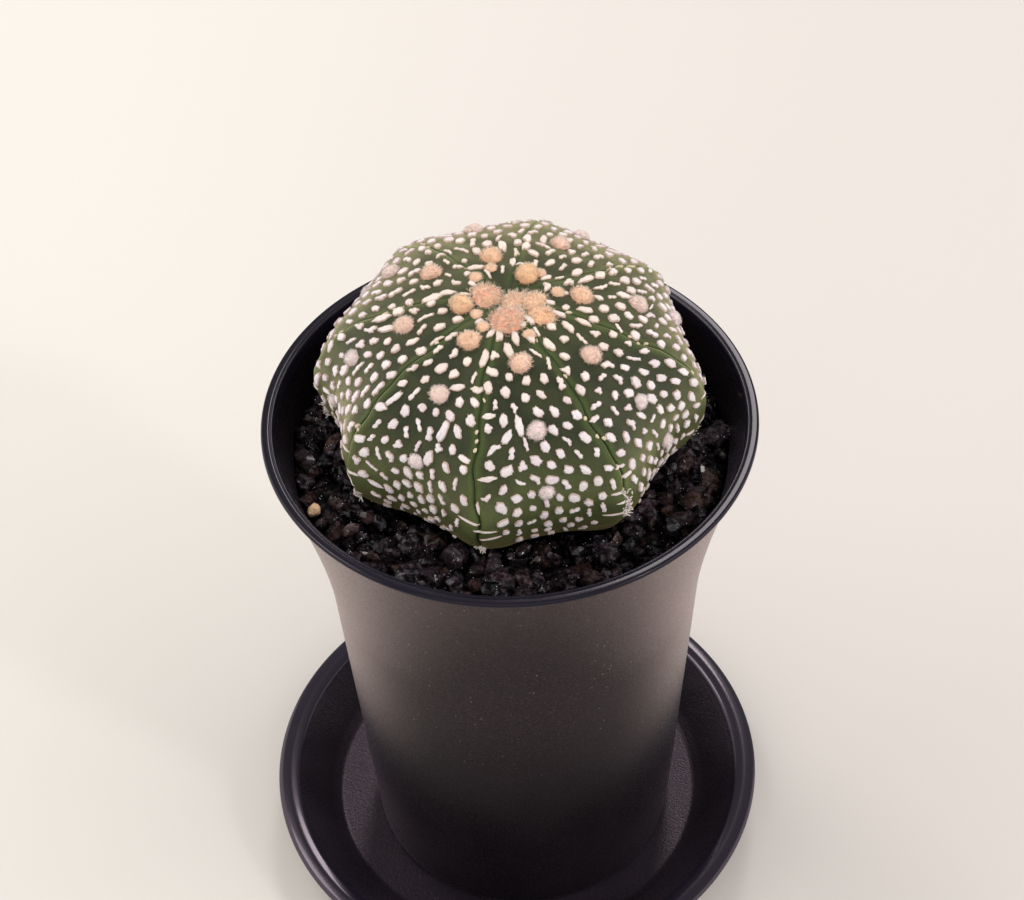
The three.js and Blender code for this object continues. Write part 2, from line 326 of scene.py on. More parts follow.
class Shader:
    """A material's nodes, written as expressions."""

    def __init__(self, name: str) -> None:
        """Starts an empty material with one Principled shader.

        Args:
            name: of the material.
        """
        self.material = bpy.data.materials.new(name)
        self.material.use_nodes = True
        self.tree = self.material.node_tree
        self.tree.nodes.clear()
        self.surface = self.tree.nodes.new("ShaderNodeBsdfPrincipled")
        output = self.tree.nodes.new("ShaderNodeOutputMaterial")
        self.tree.links.new(self.surface.outputs[0], output.inputs[0])

    def node(self, kind: str, settings: dict, inputs: dict, output: int | str = 0) -> Value:
        """Adds a node.

        Args:
            kind: the node's type.
            settings: its properties, set first; "stops" fills a colour ramp.
            inputs: values or links by the socket's name or number.
            output: which of its sockets is the result.

        Returns:
            The result as a value.
        """
        made = self.tree.nodes.new(kind)
        for name, setting in settings.items():
            if name == "stops":
                self._fill_ramp(made.color_ramp, setting)
            else:
                setattr(made, name, setting)
        for name, value in inputs.items():
            self.feed(made.inputs[name], value)
        return Value(self, made.outputs[output])

    @staticmethod
    def _fill_ramp(ramp: bpy.types.ColorRamp, stops: Sequence[tuple[float, Colour]]) -> None:
        """Gives a ramp its stops, in order."""
        while len(ramp.elements) < len(stops):
            ramp.elements.new(1.0)
        for element, (place, colour) in zip(ramp.elements, stops):
            element.position = place
            element.color = (*colour, 1)

    def feed(self, socket: bpy.types.NodeSocket, value: "Number | Colour | tuple") -> None:
        """Links a value to a socket, or sets the socket to a number or a colour."""
        if isinstance(value, Value):
            self.tree.links.new(value.socket, socket)
        elif socket.type == "RGBA" and len(value) == 3:
            socket.default_value = (*value, 1)
        else:
            socket.default_value = value

    def math(self, operation: str, first: Number, second: Number = 0.0) -> Value:
        """One Math node."""
        return self.node("ShaderNodeMath", {"operation": operation}, {0: first, 1: second})

    def where(self) -> Value:
        """The place on the object, in metres."""
        return self.node("ShaderNodeTexCoord", {}, {}, "Object")

    def mark(self, name: str) -> Value:
        """A value kept at the mesh's points."""
        return self.node("ShaderNodeAttribute", {"attribute_name": name}, {}, "Fac")

    def noise(self, size: float, detail: float = 3, rough: float = 0.5, twist: float = 0) -> Value:
        """Cloudy noise, 0 to 1, with lumps of about the given size in millimetres."""
        inputs = {
            "Vector": self.where(),
            "Scale": 1 / (size * MM),
            "Detail": detail,
            "Roughness": rough,
            "Distortion": twist,
        }
        return self.node("ShaderNodeTexNoise", {}, inputs, "Fac")

    def cells(self, size: float) -> Value:
        """Distance to the nearest of scattered seeds that lie about "size" millimetres apart."""
        inputs = {"Vector": self.where(), "Scale": 1 / (size * MM)}
        return self.node("ShaderNodeTexVoronoi", {}, inputs, "Distance")

    def axis(self, name: str) -> Value:
        """The X, Y or Z coordinate, in metres."""
        return self.node("ShaderNodeSeparateXYZ", {}, {"Vector": self.where()}, name)

    def height(self) -> Value:
        """The height over the origin, in metres."""
        return self.axis("Z")

    def grazing(self) -> Value:
        """0 where the surface is seen straight on, 1 where it is seen edge on."""
        return self.node("ShaderNodeLayerWeight", {}, {"Blend": 0.5}, "Facing")

    def between(self, value: Number, low: float, high: float) -> Value:
        """0 up to low and 1 from high on, smooth between them."""
        settings = {"interpolation_type": "SMOOTHSTEP"}
        return self.node("ShaderNodeMapRange", settings, {0: value, 1: low, 2: high})

    def mix(self, share: Number, first: "Value | Colour", second: "Value | Colour",
            kind: str = "MIX") -> Value:
        """The first colour at 0, the second at 1."""
        settings = {"data_type": "RGBA", "blend_type": kind}
        return self.node("ShaderNodeMix", settings, {0: share, 6: first, 7: second}, 2)

    def shaded(self, share: Number, first: "Value | Colour", second: "Value | Colour") -> Value:
        """The first colour, multiplied by the second as far as share says."""
        return self.mix(share, first, second, "MULTIPLY")

    def ramp(self, value: Value, stops: Sequence[tuple[float, Colour]]) -> Value:
        """A colour for each height of a value."""
        return self.node("ShaderNodeValToRGB", {"stops": stops}, {0: value})

    def bumped(self, height: Value, depth: float, base: Value | None = None) -> Value:
        """A normal for a relief.

        Args:
            height: the relief, 0 to 1.
            depth: what 1 stands for, in millimetres.
            base: a coarser relief's normal that this one lies on.

        Returns:
            The normal.
        """
        inputs = {"Height": height, "Distance": depth * MM, "Strength": 1.0}
        if base is not None:
            inputs["Normal"] = base
        return self.node("ShaderNodeBump", {}, inputs)

    def finished(self, colour: Value, rough: Number, relief: Value | None = None,
                 **others: Number | Colour) -> bpy.types.Material:
        """Feeds the surface.

        Args:
            colour: its base colour.
            rough: its roughness.
            relief: its normal, where it has a relief.
            others: what its other sockets get, by the socket's name with "_" for each space.

        Returns:
            The material.
        """
        feeds = {"Base Color": colour, "Roughness": rough}
        if relief is not None:
            feeds["Normal"] = relief
        feeds.update({name.replace("_", " "): value for name, value in others.items()})
        for name, value in feeds.items():
            self.feed(self.surface.inputs[name], value)
        return self.material


# ---- Finishes ---------------------------------------------------------------------------------


@dataclass(frozen=True)
class CactusSkin:
    """Matt green skin: finely speckled, lighter on the lips of the grooves, corky brown low down."""

    young: Colour = linear(36, 41, 22)
    fresh: Colour = linear(50, 55, 30)
    deep: Colour = linear(80, 86, 52)
    leaf: Colour = linear(99, 106, 68)
    lip: Colour = linear(90, 110, 46)
    # painted shade: the dark green of the grooves' creases, laid on by the fold mark
    fold: Colour = linear(28, 48, 10)
    corky: Colour = linear(112, 92, 62)
    # painted sheen: the pale colour mixed in where the skin is seen edge on
    down: Colour = linear(186, 182, 138)
    dot: Colour = linear(165, 168, 130)
    crown_from: tuple[float, float] = (0.136, 0.161)
    corky_below: tuple[float, float] = (0.141, 0.1275)
    painted_sheen_from: tuple[float, float] = (0.1425, 0.152)
    shade_below: tuple[float, float] = (0.1485, 0.1395)

    def made(self) -> bpy.types.Material:
        """The material: broad patches, the lips by the groove mark, a fine grain of raised dots, painted
        shade along the grooves' creases, and a pale painted sheen that shows where the skin turns away."""
        s = Shader("cactus_skin")
        patches = s.between(s.noise(9, 3, 0.55), 0.32, 0.68)
        crown = s.between(s.height(), *self.crown_from)
        colour = s.mix(crown, s.mix(patches, self.deep, self.leaf), s.mix(patches, self.young, self.fresh))
        colour = s.mix(s.mark("lip") * 0.28, colour, self.lip)
        # Painted shade along the crease of each groove, by the fold mark.
        colour = s.mix(s.mark("fold"), colour, self.fold)
        worn = s.between(s.noise(6, 4, 0.6), 0.42, 0.62) * s.between(s.height(), *self.corky_below)
        colour = s.mix(worn * 0.25, colour, self.corky)
        # Painted sheen: a pale colour where the skin turns away from the view, above the lowest band.
        away = s.math("MINIMUM", s.grazing() ** 3, 0.42)
        colour = s.mix(away * s.between(s.height(), *self.painted_sheen_from), colour, self.down)
        colour = s.shaded(s.between(s.height(), *self.shade_below) * 0.75, colour, (0.36, 0.41, 0.32))
        speckle = s.noise(0.35, 2, 0.5)
        colour = s.shaded(s.between(speckle, 0.62, 0.4) * 0.35, colour, (0.55, 0.6, 0.5))
        dots = s.between(s.cells(0.55), 0.16, 0.05) * s.between(s.noise(2.2), 0.5, 0.62)
        colour = s.mix(dots * 0.35, colour, self.dot)
        relief = s.bumped(speckle, 0.05, s.bumped(s.noise(1.6, 2), 0.12))
        return s.finished(colour, 0.5 + s.noise(3) * 0.2, relief, Specular_IOR_Level=0.2,
                          Sheen_Weight=0.1, Sheen_Roughness=0.4, Sheen_Tint=linear(252, 214, 150))


@dataclass(frozen=True)
class Felt:
    """The off-white felt of the flecks, each a little different, with tan, ragged edges that carry painted
    shade too.
    """

    pale: Colour = linear(230, 224, 225)
    pink: Colour = linear(218, 205, 208)
    # the felt's tan edge, which is also painted shade round each fleck's rim
    edge: Colour = linear(176, 142, 116)
    bead: Colour = linear(216, 198, 164)
    fresh: Colour = linear(228, 208, 180)
    root: Colour = linear(214, 190, 184)
    fresh_from: tuple[float, float] = (0.16, 0.168)

    def made(self) -> bpy.types.Material:
        """The material: a tone for each fleck, creamy near the crown, its edge tan and darker by the rim
        mark, partly as painted shade; short fibres as relief."""
        s = Shader("fleck_felt")
        colour = s.mix(s.mark("tone"), self.pale, self.pink)
        colour = s.mix(s.between(s.height(), *self.fresh_from) * 0.45, colour, self.fresh)
        # The rim mark's edge colour: partly the felt's own tan, partly painted shade where the felt meets
        # the skin.
        colour = s.mix(s.mark("rim") * 0.8, colour, self.edge)
        colour = s.mix(s.mark("bead"), colour, self.bead)
        fibre = s.noise(0.22, 3, 0.7, 0.6)
        colour = s.shaded(s.between(fibre, 0.55, 0.35) * 0.4, colour, self.root)
        return s.finished(colour, 0.82 + fibre * 0.15, s.bumped(fibre, 0.18), Specular_IOR_Level=0.2,
                          Sheen_Weight=0.25)


@dataclass(frozen=True)
class Wool:
    """Wool of the tufts: golden when young, blushing at the crown, pinkish white when old."""

    golden: Colour = linear(242, 211, 158)
    peach: Colour = linear(238, 213, 196)
    faded: Colour = linear(230, 219, 222)
    blush: Colour = linear(252, 182, 150)
    # painted shade deep in the wool and at the tufts' feet, for young and for old tufts
    wool_painted_shade: Colour = linear(240, 202, 180)
    old_wool_painted_shade: Colour = linear(240, 226, 222)
    tip: Colour = linear(255, 249, 236)

    def made(self) -> bpy.types.Material:
        """The material: colour by the age mark, patches of blush, painted shade deep in the wool and at
        each tuft's foot, paler at the fibres' tips."""
        s = Shader("areole_wool")
        aged = s.ramp(s.mark("age"), [(0, self.golden), (0.32, self.peach), (0.68, self.faded)])
        patches = s.between(s.noise(1.9, 2), 0.42, 0.6) * 1.1 + 0.3
        colour = s.mix(s.mark("blush") * patches * (1.6 - s.mark("tip") * 1.5), aged, self.blush)
        # Painted shade where the tip mark is low: deep in the wool and, as the mark also carries the light
        # from Tuft.lit, at each tuft's foot.
        deep = s.mix(s.between(s.mark("age"), 0.15, 0.6), self.wool_painted_shade, self.old_wool_painted_shade)
        colour = s.shaded(1 - s.mark("tip"), colour, deep)
        # Paler fibre tips, which show most where the tip mark carries more painted light.
        colour = s.mix(s.mark("tone") * s.mark("tip"), colour, self.tip)
        strands = s.noise(0.3, 3, 0.7, 0.8)
        colour = s.shaded(s.between(strands, 0.52, 0.38) * 0.4, colour, deep)
        return s.finished(colour, 0.85 + strands * 0.1, s.bumped(strands, 0.15), Specular_IOR_Level=0.2,
                          Sheen_Weight=0.3)


@dataclass(frozen=True)
class MouldedPlastic:
    """Dark moulded plastic with a fine sandy grain; heights in metres say where it is glossy and where
    painted light fades to painted shade down the wall.
    """

    name: str
    body: Colour
    worn: Colour
    polished_from: float
    grain: float = 0.46
    depth: float = 0.09
    roughness: float = 0.3
    shine: float = 0.09
    # painted light: the heights over which the outer wall goes from painted shade to lit
    painted_light_from: tuple[float, float] = (0.048, 0.092)
    # painted sheen: the pale colour of the wall's edges
    edge_painted_sheen: Colour = linear(202, 174, 166)
    speck: Colour = linear(64, 50, 53)
    fleck: Colour = linear(188, 178, 172)
    rim: Colour = linear(20, 18, 29)

    def made(self) -> bpy.types.Material:
        """The material: faint clouding, the grain as paler specks and as relief up to the height where the
        plastic is polished, and on the outside a painted sheen where the wall turns away and a few pale
        specks of dust; specks, sheen and dust fade down the wall and on the inner wall, as painted shade."""
        s = Shader(self.name)
        matt = s.between(s.height(), self.polished_from + 0.5 * MM, self.polished_from - 0.5 * MM)
        sand = (s.noise(self.grain, 2, 0.6) - 0.5) * matt + 0.5
        cloud = s.noise(26, 3, 0.55)
        colour = s.mix(s.between(cloud, 0.35, 0.7), self.body, self.worn)
        # Painted light: a ramp up the outer wall that brings out the specks, the sheen and the dust; the
        # lower and inner wall stay darker, as painted shade.
        painted_light_by_height = s.between(s.height(), *self.painted_light_from) * (1 - s.mark("inside"))
        colour = s.mix(s.between(sand, 0.52, 0.68) * (painted_light_by_height * 0.55 + 0.08), colour, self.speck)
        # Painted sheen: a pale colour where the outer wall is seen edge on.
        away = s.between(s.grazing(), 0.54, 0.93) * 0.34 + 0.011
        colour = s.mix(away * painted_light_by_height * matt * (sand * 0.6 + 0.7), colour, self.edge_painted_sheen)
        dust = s.between(s.cells(1.9), 0.09, 0.05) * s.between(s.noise(7, 2), 0.48, 0.56)
        colour = s.mix(dust * painted_light_by_height * matt * 0.8, colour, self.fleck)
        colour = s.mix((1 - matt) * 0.8, colour, self.rim)
        rough = self.roughness + (cloud - 0.5) * 0.08 + (sand - 0.5) * 0.4 + (matt - 1) * 0.12
        return s.finished(colour, rough, s.bumped(sand, self.depth), Coat_Weight=(1 - matt) * 0.2,
                          Coat_Roughness=0.06, Specular_IOR_Level=self.shine,
                          Specular_Tint=linear(250, 222, 240), Sheen_Weight=0.06,
                          Sheen_Roughness=0.28, Sheen_Tint=linear(232, 212, 236))


@dataclass(frozen=True)
class LavaGrit:
    """Black lava: some grains brown or violet, pitted, with painted glints, painted shade in its pits and
    black painted shade in the gaps under its level, which is a height in metres."""

    level: float
    tones: tuple[tuple[float, Colour], ...] = (
        (0.0, linear(4, 3, 5)),
        (0.3, linear(16, 12, 17)),
        (0.5, linear(44, 34, 40)),
        (0.66, linear(60, 47, 50)),
        (0.78, linear(66, 46, 41)),
        (0.84, linear(14, 9, 19)),
        (0.96, linear(88, 66, 58)),
        (1.0, linear(226, 186, 150)),
    )
    dust: Colour = linear(90, 76, 84)
    glint: Colour = linear(206, 202, 212)

    def made(self) -> bpy.types.Material:
        """The material: a tone for each grain, pits as relief and as painted shade, dust on all but the
        pale grain, painted shade in the gaps, glassy patches, and scattered painted glints."""
        s = Shader("lava_grit")
        colour = s.ramp(s.mark("tone"), self.tones)
        pits = s.noise(0.9, 4, 0.7)
        dark = s.between(s.mark("tone"), 0.995, 0.97)
        # Painted shade in the pits, on all but the pale grain.
        colour = s.shaded(s.between(pits, 0.58, 0.42) * dark * 0.9, colour, (0.14, 0.12, 0.14))
        colour = s.mix(s.between(s.noise(1.5, 3, 0.6), 0.5, 0.66) * 0.55 * dark, colour, self.dust)
        # Painted shade: black in the gaps below the grit's level.
        deep = s.between(s.height(), self.level + 0.6 * MM, self.level - 2.4 * MM)
        colour = s.shaded(deep * 0.95, colour, (0.08, 0.07, 0.08))
        # Painted glints: small pale dots in the base colour.
        glints = s.between(s.cells(0.66), 0.22, 0.1) * s.between(s.noise(2.2, 2), 0.53, 0.63)
        colour = s.mix(glints, colour, self.glint)
        relief = s.bumped(s.noise(0.45, 2, 0.6), 0.1, s.bumped(s.cells(0.7), 0.1, s.bumped(pits, 0.2)))
        glassy = s.between(s.noise(1.1, 2), 0.44, 0.56)
        return s.finished(colour, 0.5 - glassy * 0.3, relief, Coat_Weight=glassy * (1 - deep) * 0.5,
                          Coat_Roughness=0.14, Specular_IOR_Level=0.05)


@dataclass(frozen=True)
class LooseFill:
    """Soil or pumice inside the pot: lumps of two colours with painted shade in the gaps."""

    name: str
    pale: Colour
    dark: Colour
    lump: float

    def made(self) -> bpy.types.Material:
        """The material: cell-shaped lumps, noise on each, both as relief, and painted shade between the
        lumps.
        """
        s = Shader(self.name)
        lumps = s.cells(self.lump)
        crumbs = s.noise(self.lump * 0.4, 4, 0.65)
        colour = s.mix(s.between(crumbs, 0.35, 0.65), self.dark, self.pale)
        # Painted shade in the gaps between the lumps.
        colour = s.shaded(s.between(lumps, 0.45, 0.8), colour, (0.3, 0.28, 0.26))
        relief = s.bumped(1 - lumps, self.lump * 0.3, s.bumped(crumbs, 0.4))
        return s.finished(colour, 0.86 + crumbs * 0.1, relief, Specular_IOR_Level=0.3)


@dataclass(frozen=True)
class PaleTable:
    """The ivory surface that everything stands on."""

    light: Colour = linear(207, 202, 195)
    shade: Colour = linear(197, 190, 185)

    def made(self) -> bpy.types.Material:
        """The material: painted light that fades slowly from left to right across the table, hardly
        clouded.
        """
        s = Shader("pale_table")
        cloud = s.noise(300, 2) - 0.5
        # Painted light: lighter to the left, darker to the right.
        colour = s.mix(s.between(s.axis("X") + cloud * 0.05, -0.2, 0.2), self.light, self.shade)
        return s.finished(colour, 0.8, Specular_IOR_Level=0.2)


# ---- The cactus's shape -----------------------------------------------------------------------


@dataclass(frozen=True)
class Groove:
    """A groove between two ribs: its azimuth in degrees at the crown and at the belt; how far the lip on
    each side stands proud; the felt dashes beside it as place down from the crown, place to its side and
    half the length and the width; and the scar at its foot as place and spread. In millimetres."""

    crown: float
    belt: float
    lip_before: float = 0.25
    lip_after: float = 0.25
    dashes: tuple[tuple[float, float, float, float], ...] = (
        (48, -1.6, 1.7, 0.38), (52, 1.9, 1.9, 0.35), (56, -1.2, 2.2, 0.32), (59, 1.0, 1.8, 0.3),
    )
    scar: tuple[float, float] = (60, 1.5)


@dataclass(frozen=True)
class Footing:
    """Places on the skin with the unit vectors sideways and out of it, and how many millimetres one rib
    and one degree cover there."""

    place: Array
    side: Array
    out: Array
    rib_mm: Array
    degree_mm: Array


@dataclass
class Body:
    """The cactus's grown shape as a formula that every piece on it shares, in millimetres and degrees.

    The last two numbers are how far apart the places are from which directions on the skin are worked
    out, in ribs and in degrees.
    """

    centre: Array
    belt_height: float
    belt_radius: float = 38.6
    crown_rise: float = 24.6
    crown_power: float = 2.3
    belly_drop: float = 26.7
    neck_angle: float = 148
    root_length: float = 46
    root_tip_radius: float = 1.5
    crown_dip: float = 1.5
    dip_radius: float = 6
    cornering: float = 0.05
    roundedness: float = 0.15
    roll: float = 0.75
    fold_depth: float = 0.8
    fold_reach: float = 12
    lip_width: float = 1.5
    wander: float = 0.32
    swell: float = 0.14
    swell_wave: float = 11
    dimple: float = 0.05
    dimple_wave: float = 4
    grooves: tuple[Groove, ...] = (
        Groove(-105, -101, 0.15, 0.05, (
            (24, -1.7, 1.3, 0.72), (29, 2.4, 1.3, 0.65), (37.5, -2.7, 1.5, 0.7), (41, 3.2, 2.0, 0.6),
            (47, 0.5, 0.35, 1.5), (51, -2.7, 2.4, 0.4), (53.5, 1.4, 2.8, 0.3), (56.5, 2.9, 2.4, 0.36),
        ), (62.5, 0.8)),
        Groove(-68, -57, 0.25, -0.1, (
            (33, 1.8, 1.3, 0.6), (43.5, 0.4, 1.3, 0.45), (46, 1.3, 1.4, 0.5), (49, -1.7, 1.9, 0.42),
            (52, -1.2, 1.4, 0.35), (55.5, -2.7, 2.9, 0.32),
        ), (54, 4.5)),
        Groove(-28, -11, 0.4, -0.3),
        Groove(19, 38, 0.4, -0.3),
        Groove(78, 78, 0.1, 0.1),
        Groove(133, 123, -0.2, 0.3),
        Groove(180, 176, -0.3, 0.4),
        Groove(220, 214, -0.25, 0.35),
    )
    rib_step: float = 0.04
    degree_step: float = 1.6

    @property
    def ribs(self) -> int:
        """How many ribs there are."""
        return len(self.grooves)

    def of_grooves(self, name: str) -> Array:
        """The same number of every groove."""
        return np.array([getattr(groove, name) for groove in self.grooves])

    def profile(self, polar: Array) -> tuple[Array, Array]:
        """Mean radius and height.

        A superellipse with a dip in its middle for the crown, a plain ellipse for the belly, and a
        taproot whose radius falls with the square of what is left of its length.

        Args:
            polar: degrees from the crown.

        Returns:
            The radii and the heights.
        """
        angle = np.radians(np.clip(polar, 0, self.neck_angle))
        share = 2 / self.crown_power
        crown = polar < 90
        over = np.clip(np.sin(angle), 0, 1)
        up = np.cos(angle)
        radius = self.belt_radius * np.where(crown, over**share, over)
        rise = self.crown_rise * np.clip(up, 0, 1) ** share
        dip = self.crown_dip * np.exp(-((radius / self.dip_radius) ** 2))
        height = self.belt_height + np.where(crown, rise - dip, self.belly_drop * up)
        down = np.clip((polar - self.neck_angle) / (180 - self.neck_angle), 0, 1)
        neck = self.belt_radius * math.sin(math.radians(self.neck_angle)) - self.root_tip_radius
        root = self.root_tip_radius + neck * (1 - down) ** 2
        in_root = polar > self.neck_angle
        return np.where(in_root, root, radius), height - self.root_length * down

    def groove_azimuth(self, index: Array, polar: Array, radius: Array) -> Array:
        """Where a groove runs: from its azimuth at the crown to the one at the belt, wandering a
        little to each side as two sines of the polar angle.

        Args:
            index: of the groove, counted on past a whole turn.
            polar: degrees from the crown.
            radius: the mean radius there.

        Returns:
            Azimuths in radians.
        """
        lap, which = np.divmod(index, self.ribs)
        crown, belt = self.of_grooves("crown")[which], self.of_grooves("belt")[which]
        azimuth = np.radians(blend(crown, belt, np.clip(polar / 90, 0, 1)) + 360 * lap)
        phase = which * 2.4
        sway = np.sin(polar * 0.16 + phase) + 0.6 * np.sin(polar * 0.37 + 1.7 * phase)
        fade = smooth_step(8, 30, polar) * smooth_step(176, 130, polar)
        return azimuth + self.wander * sway * fade / np.maximum(radius, 6)

    def spread(self, around: Array, polar: Array) -> tuple[Array, ...]:
        """What the shape and its marks are worked out from.

        Args:
            around: ribs round the body.
            polar: degrees from the crown.

        Returns:
            The azimuth, the mean radius, the height, the fraction across the rib and the distance to
            the nearest groove in millimetres.
        """
        rib = np.floor(around).astype(int)
        across = around - rib
        radius, height = self.profile(polar)
        start = self.groove_azimuth(rib, polar, radius)
        end = self.groove_azimuth(rib + 1, polar, radius)
        near = np.minimum(across, 1 - across) * (end - start) * radius
        return blend(start, end, across), radius, height, across, near

    def at(self, around: Array, polar: Array) -> Array:
        """Points of the skin.

        The mean radius is swollen into corners at the grooves by cos(turn) + roundedness cos(2 turn).
        By a groove it rolls in like the edge of a disc, 1 - sqrt(1 - t squared), behind a lip that
        stands proud as a bell curve, and slow ripples make the whole skin uneven.

        Args:
            around: ribs round the body.
            polar: degrees from the crown.

        Returns:
            Points in millimetres, in a last axis.
        """
        around, polar = np.broadcast_arrays(np.asarray(around, float), np.asarray(polar, float))
        azimuth, radius, height, across, near = self.spread(around, polar)
        cornered = np.clip(polar / 90, 0, 1) * np.clip((180 - polar) / (180 - self.neck_angle), 0, 1)
        turn = TAU * across
        stand = np.cos(turn) + self.roundedness * np.cos(2 * turn)
        out = radius * (1 + self.cornering * cornered * stand)
        rib = np.floor(around).astype(int)
        after = self.of_grooves("lip_after")[rib % self.ribs]
        before = self.of_grooves("lip_before")[(rib + 1) % self.ribs]
        lip = np.where(across < 0.5, after, before)
        depth = np.clip(radius / self.fold_reach, 0, 1) * smooth_step(180, 150, polar)
        t = np.clip(1 - near / self.roll, 0, 1)
        fold = self.fold_depth * (1 - np.sqrt(np.clip(1 - t * t, 0, 1)))
        proud = lip * np.exp(-(((near - self.roll) / self.lip_width) ** 2))
        out = out - depth * (fold - proud)
        way = np.stack([np.cos(azimuth), np.sin(azimuth), np.zeros_like(azimuth)], -1)
        place = np.array([*self.centre[:2], 0.0]) + way * out[..., None]
        place[..., 2] += height
        uneven = self.swell * ripples(place, 5, self.swell_wave)
        uneven = uneven + self.dimple * ripples(place, 6, self.dimple_wave)
        bulge = (uneven * np.clip(radius / 10, 0, 1) * smooth_step(178, 150, polar))[..., None]
        lean = np.cos(np.radians(np.clip(polar, 0, 90)))[..., None]
        return place + bulge * (way * (1 - lean) + np.array([0, 0, 1.0]) * lean)

    def seats(self, around: Array, polar: Array) -> Footing:
        """Places on the skin with their directions, from small steps along it."""
        ribs, degrees = self.rib_step / 2, self.degree_step / 2
        side = (self.at(around + ribs, polar) - self.at(around - ribs, polar)) / self.rib_step
        down = (self.at(around, polar + degrees) - self.at(around, polar - degrees)) / self.degree_step
        rib_mm, degree_mm = (np.linalg.norm(v, axis=-1) for v in (side, down))
        out = unit(np.cross(down, side))
        return Footing(self.at(around, polar), unit(side), out, rib_mm, degree_mm)

    def seat(self, around: float, polar: float, sunk: float) -> tuple[Array, Array]:
        """A place so far under the skin, in millimetres, and the direction out of the skin there."""
        footing = self.seats(np.array([around]), np.array([polar]))
        return footing.place[0] - footing.out[0] * sunk, footing.out[0]

    def polar_at(self, along: Array) -> Array:
        """The angle at a distance from the crown's centre along the skin, by a table of arc length."""
        polar = np.linspace(0, 150, 1200)
        radius, height = self.profile(polar)
        arc = np.concatenate([[0], np.cumsum(np.hypot(np.diff(radius), np.diff(height)))])
        return np.interp(along, arc, polar)

    def along_at(self, polar: Array) -> Array:
        """The inverse of polar_at."""
        along = np.linspace(0, 80, 1600)
        return np.interp(polar, self.polar_at(along), along)

    def radius_towards(self, azimuth: Array, height: Array) -> Array:
        """How far the belly reaches from the body's axis.

        Args:
            azimuth: radians.
            height: millimetres, below the belt.

        Returns:
            Distances in millimetres.
        """
        up = np.clip((height - self.belt_height) / self.belly_drop, -0.84, 0)
        polar = np.degrees(np.arccos(up))
        belt = self.of_grooves("belt")
        belt = np.radians(np.append(belt, belt[0] + 360))
        turn = (azimuth - belt[0]) % TAU + belt[0]
        around = np.interp(turn, belt, np.arange(self.ribs + 1))
        point = self.at(around, polar)
        return np.hypot(point[..., 0] - self.centre[0], point[..., 1] - self.centre[1])


# ---- Fibres -----------------------------------------------------------------------------------


def fibres(roots: Array, ways: Array, lengths: Array, width: float, curl: Array, seed: int,
           segments: int = 2) -> Surface:
    """Thin three-sided hairs that taper to a blunt tip.

    Along each hair the place is root + way times length times t, plus a sideways arc: curl times the
    length times (1 - cos, sin) of a turn that grows with t, in the plane square to the way.

    Args:
        roots: (hairs, 3).
        ways: unit directions.
        lengths: in millimetres.
        width: at the root, in millimetres.
        curl: how far each swings out, over its length.
        seed: of the turns.
        segments: steps along each hair.

    Returns:
        All hairs as one surface with a "tip" mark, 0 at the root and 1 at the tip.
    """
    draw = np.random.default_rng(seed)
    count = len(roots)
    first, second = across_of(ways)
    spin = draw.uniform(0, TAU, (count, 1, 1))
    turns = draw.uniform(1.2, 3.2, (count, 1, 1))
    t = np.linspace(0, 1, segments + 1)[None, :, None]
    swing = curl[:, None, None] * lengths[:, None, None]
    bend = first[:, None] * (np.cos(turns * t + spin) - np.cos(spin))
    bend = bend + second[:, None] * (np.sin(turns * t + spin) - np.sin(spin))
    spine = roots[:, None] + ways[:, None] * lengths[:, None, None] * t + swing * bend
    angle = (np.arange(3) * TAU / 3)[:, None]
    ring = around_of(first[:, None, None], second[:, None, None], angle)
    taper = (width / 2 * (1 - 0.72 * t))[..., None]
    points = (spine[:, :, None] + ring * taper).reshape(count, -1, 3)
    faces = [net(segments + 1, 3), np.arange(3)[None] + 3 * segments, np.array([[2, 1, 0]])]
    mark = np.broadcast_to(np.repeat(t[0, :, 0], 3), (count, 3 * (segments + 1)))
    return Surface.repeated(points, faces, {"tip": mark})


